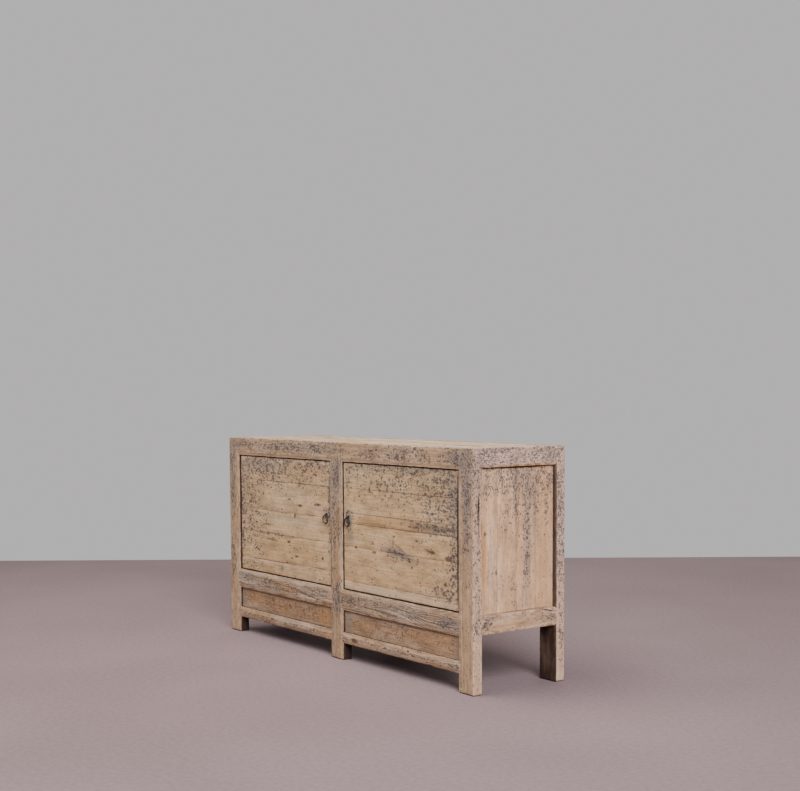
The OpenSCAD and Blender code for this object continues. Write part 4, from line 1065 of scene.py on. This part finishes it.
def forged_iron(name, seed, rust=0.4):
    """Old iron: nearly black and smooth where handled, brown and pitted elsewhere."""
    made, tree = bare_material(name)
    offset = tuple(np.random.default_rng(seed).uniform(0, 5, 3))
    place = put(tree, "ShaderNodeTexCoord")["Object"]
    place = put(tree, "ShaderNodeMapping", {"Vector": place, "Location": offset})[0]
    blotch = noise(tree, place, 150.0, 4.0, 0.6)[0]
    pits = noise(tree, place, 900.0, 3.0, 0.65)[0]
    rusty = fade(tree, blotch, 0.62 - 0.3 * rust, 0.74 - 0.3 * rust)
    colour = blend(tree, rusty, tone(62, 57, 54), tone(104, 70, 48))
    colour = blend(tree, fade(tree, pits, 0.5, 0.75), colour, tone(36, 32, 30))
    dull = fade(tree, blotch, 0.3, 0.7, 0.42, 0.7)
    height = calc(tree, "MULTIPLY_ADD", pits, 0.7, times(tree, blotch, 0.5))
    bump = put(tree, "ShaderNodeBump", {"Strength": 0.5, "Distance": 0.0006, "Height": height})[0]
    metal = calc(tree, "MULTIPLY_ADD", rusty, -0.6, 0.8)
    shader = put(tree, "ShaderNodeBsdfPrincipled", {
        "Base Color": colour, "Roughness": dull, "Metallic": metal, "Normal": bump})[0]
    put(tree, "ShaderNodeOutputMaterial", {"Surface": shader})
    return made


ring_u, ring_v = span("left_pull_ring")[:2]
eye_u, eye_reach, eye_z = span("left_pull_eye")
pull_u, pull_z, eye_v = sum(ring_u) / 2, sum(eye_z) / 2, sum(ring_v) / 2
wire_r = ring_v[1] - eye_v
ring_r = ring_u[1] - pull_u - wire_r
strap_t, strap_w = 2.0, eye_u[1] - eye_u[0]


def whole_turn(steps):
    """Angles around a full circle."""
    return np.linspace(0, math.tau, steps, endpoint=False)


def hung_ring(name, seed, mirrored):
    """A ring bent from hammered wire, thinner where it has worn in its eye."""
    random = np.random.default_rng(seed)
    turn, around = np.meshgrid(whole_turn(72), whole_turn(16), indexing="ij")
    hammered = drift(random, around, turn / math.tau, 1.6, 22)
    worn = 0.22 * np.exp(-(np.minimum(turn, math.tau - turn) / 0.25) ** 2)
    lapped = 0.1 * np.exp(-((turn - 3.7) / 0.05) ** 2)
    wire = wire_r * (1 - 0.13 * hammered - worn * (np.cos(around) < 0) - lapped)
    radius = ring_r - 0.3 * np.cos(2 * turn + 0.4) ** 2 + wire * np.cos(around)
    return closed_mesh(name, pull_u + radius * np.sin(turn), eye_v + wire * np.sin(around),
                       pull_z - ring_r + radius * np.cos(turn), mirrored, joined=True)


def strap_eye(name, seed, mirrored):
    """A strap folded round the ring; its two legs run through the door and are clenched behind."""
    random = np.random.default_rng(seed)
    play, tip_l, tip_share = 0.35, 9, 0.45
    fold_r = wire_r + play + strap_t / 2
    back_v = eye_reach[1] - strap_t / 2
    meet = math.asin(strap_t / 2 / fold_r)
    front_v = eye_v + fold_r * math.cos(meet) + 1
    leg = [(back_v, z) for z in np.linspace(eye_z[1], pull_z + strap_t, 8)]
    leg += [(v, pull_z + strap_t / 2) for v in np.linspace(back_v - strap_t / 2, front_v, 14)]
    fold = [(eye_v + fold_r * math.cos(angle), pull_z + fold_r * math.sin(angle))
            for angle in np.linspace(meet, math.tau - meet, 30)]
    path = np.array(leg + fold + [(v, 2 * pull_z - z) for v, z in leg[::-1]])
    ahead = np.gradient(path, axis=0)
    ahead /= np.linalg.norm(ahead, axis=1)[:, None]
    side = np.stack([-ahead[:, 1], ahead[:, 0]], axis=-1)
    half_t, half_w, ease = strap_t / 2, strap_w / 2, 0.4
    section = np.array([(half_t, half_w - ease), (half_t - ease, half_w), (ease - half_t, half_w),
                        (-half_t, half_w - ease), (-half_t, 0), (-half_t, ease - half_w),
                        (ease - half_t, -half_w), (half_t - ease, -half_w),
                        (half_t, ease - half_w), (half_t, 0)])
    along = np.cumsum(np.concatenate(([0], np.linalg.norm(np.diff(path, axis=0), axis=1))))
    length, share = np.meshgrid(along, np.linspace(0, 1, len(section), endpoint=False), indexing="ij")
    thin = 1 - 0.16 * drift(random, length, share, 2.4, 5)
    taper = np.clip(np.minimum(along, along[-1] - along) / tip_l, tip_share, 1.0)
    out = path[:, None, :] + side[:, None, :] * (section[:, 0] * thin)[..., None]
    u = pull_u + section[:, 1] * thin * taper[:, None]
    return closed_mesh(name, u, out[..., 0], out[..., 1], mirrored)


def pull_washer(name, seed, mirrored):
    """A small plate beaten to a rough round, with a slot for the two legs."""
    random = np.random.default_rng(seed)
    u_span, v_span = span("left_pull_washer")[:2]
    plate_r, plate_t = (u_span[1] - u_span[0]) / 2, v_span[1] - v_span[0]
    profile = [(0, 0.2), (0.04, 0.02), (0.3, 0.0), (0.6, 0.07), (0.84, 0.2), (0.96, 0.4), (1, 0.7),
               (0.99, 0.95), (0.94, 1), (0.5, 1), (0, 1)]
    turn, step = np.meshgrid(whole_turn(60), np.arange(len(profile)), indexing="ij")
    reach, depth = np.array(profile)[step].transpose(2, 0, 1)
    rough = drift(random, step.astype(float), turn / math.tau, 3.0, 15)
    slot_play = 0.05
    slot = (strap_w / 2 + slot_play) / np.maximum(abs(np.cos(turn)), abs(np.sin(turn)))
    outer = plate_r * (1 - 0.09 * drift(random, 0 * turn, turn / math.tau, 1.0, 9))
    radius = slot + (outer - slot) * reach
    v = v_span[0] + plate_t * np.clip(depth + 0.14 * rough * (depth < 0.9), 0, 1)
    return closed_mesh(name, pull_u + radius * np.cos(turn), v, pull_z + radius * np.sin(turn), mirrored,
                       joined=True)


pin_r, pin_l = 4.0, 44
pin_u, pin_v = (sum(limits) / 2 for limits in span("left_door_pins")[:2])
pin_low, pin_high = span("left_door_pins")[2]
pin_corners = [(pin_u + pin_r * math.cos(angle), pin_v + pin_r * math.sin(angle), 0.7)
               for angle in whole_turn(8) + math.radians(22.5)]
for side, mirrored in SIDES:
    iron = forged_iron(f"pull_iron_{side}", 181 + mirrored)
    for part, maker, seed, body in (("ring", hung_ring, 191, "ring"), ("eye", strap_eye, 193, "door"),
                                    ("washer", pull_washer, 195, "door")):
        piece = maker(f"worn_pull_{part}_{side}", seed + mirrored, mirrored)
        settle(piece, iron, "iron", f"{side}_{body}", f"{side}_pull_{part}")
    pins = [worn_board(f"pin_{side}_{low:.0f}", pin_corners, square_cut(low), square_cut(low + pin_l), "z",
                       197 + mirrored, mirrored, eased=(0.8, 0.8), sway=0.15, pitch=5.0, every=9000.0)
            for low in (pin_low, pin_high - pin_l)]
    iron = forged_iron(f"pin_iron_{side}", 183 + mirrored, 0.8)
    settle(gathered(f"worn_door_pins_{side}", pins), iron, "iron", f"{side}_door", f"{side}_door_pins")

# The camera stands to the right of the case, a little above it, at the photographed angle.
eye = Vector((4.365, -3.114, 1.050))
gaze = Vector((-0.8025, 0.5925, -0.0703))
roll = math.radians(-0.30)
camera_data = bpy.data.cameras.new("camera")
camera_data.lens, camera_data.shift_x, camera_data.shift_y = 59.94, -0.0015, 0.1146
camera = new_object("camera", camera_data)
camera.rotation_mode = "QUATERNION"
camera.rotation_quaternion = gaze.to_track_quat("-Z", "Y") @ Quaternion((0, 0, 1), roll)
camera.location = eye
bpy.context.scene.camera = camera

# The studio: a pale matt floor that fades into an even backdrop behind the case, and soft light
# from three large lamps: in front to the right, overhead, and a weak one behind to the left.
wall_far, far_side = 8.43, 60.0
haze_from, haze_to = 4.4, 9.0
ahead = Vector((gaze.x, gaze.y, 0)).normalized()
aside = Vector((ahead.y, -ahead.x, 0))
wall_foot = Vector((eye.x, eye.y, 0)) + wall_far * ahead
floor_mesh = bpy.data.meshes.new("floor")
floor_mesh.from_pydata([wall_foot + far_side * (way * aside - depth * ahead)
                        for way, depth in ((1, 0), (-1, 0), (-1, 2), (1, 2))], [], [(0, 1, 2, 3)])
floor = new_object("floor", floor_mesh)
paint, tree = bare_material("floor_finish")
place = put(tree, "ShaderNodeTexCoord")["Object"]
nap = noise(tree, place, 55.0, 3.0, 0.7)[0]
patch = noise(tree, place, 1.1)[0]
shade = plus(tree, fade(tree, nap, 0.3, 0.7, 0.92, 1.08), fade(tree, patch, 0.3, 0.7, -0.05, 0.05))
colour = scaled(tree, tone(146, 126, 126)[:3], shade)
bump = put(tree, "ShaderNodeBump", {"Strength": 0.3, "Distance": 0.002, "Height": nap})[0]
shader = put(tree, "ShaderNodeBsdfPrincipled", {"Base Color": colour, "Roughness": 0.95, "Normal": bump,
                                                "Specular IOR Level": 0.1})[0]
seen_tone, lit_tone, seen_strength, lit_strength = tone(222, 218, 220), tone(226, 222, 224), 0.81, 0.27
backdrop = put(tree, "ShaderNodeEmission", {"Color": seen_tone, "Strength": seen_strength})[0]
away = put(tree, "ShaderNodeVectorMath", {0: vector(tree, "MULTIPLY", place, (1.0, 1.0, 0.0))},
           operation="LENGTH")["Value"]
hazy = fade(tree, away, haze_from, haze_to)
shader = put(tree, "ShaderNodeMixShader", {0: hazy, 1: shader, 2: backdrop})[0]
put(tree, "ShaderNodeOutputMaterial", {"Surface": shader})
floor_mesh.materials.append(paint)

world = bpy.data.worlds.new("studio")
bpy.context.scene.world = world
world.use_nodes = True
tree = world.node_tree
tree.nodes.clear()
seen = put(tree, "ShaderNodeLightPath")["Is Camera Ray"]
colour = blend(tree, seen, lit_tone, seen_tone)
strength = calc(tree, "MULTIPLY_ADD", seen, seen_strength - lit_strength, lit_strength)
sky = put(tree, "ShaderNodeBackground", {"Color": colour, "Strength": strength})[0]
put(tree, "ShaderNodeOutputWorld", {"Surface": sky})
aim = Vector((0, 0, 0.4))
for name, place, size, power, tint in (("key", (7.8, -3.5, 5.0), 4.6, 1200, (0.98, 0.98, 1.05)),
                                       ("overhead", (-0.8, -1.6, 4.6), 3.6, 200, (1.0, 0.98, 0.93)),
                                       ("fill", (-5.0, 6.5, 3.2), 4.5, 130, (1.0, 0.99, 0.99))):
    light = bpy.data.lights.new(name, "AREA")
    light.energy, light.size, light.color = power, size, tint
    lamp = new_object(name, light)
    lamp.location = place
    lamp.rotation_mode = "QUATERNION"
    lamp.rotation_quaternion = (aim - lamp.location).to_track_quat("-Z", "Y")
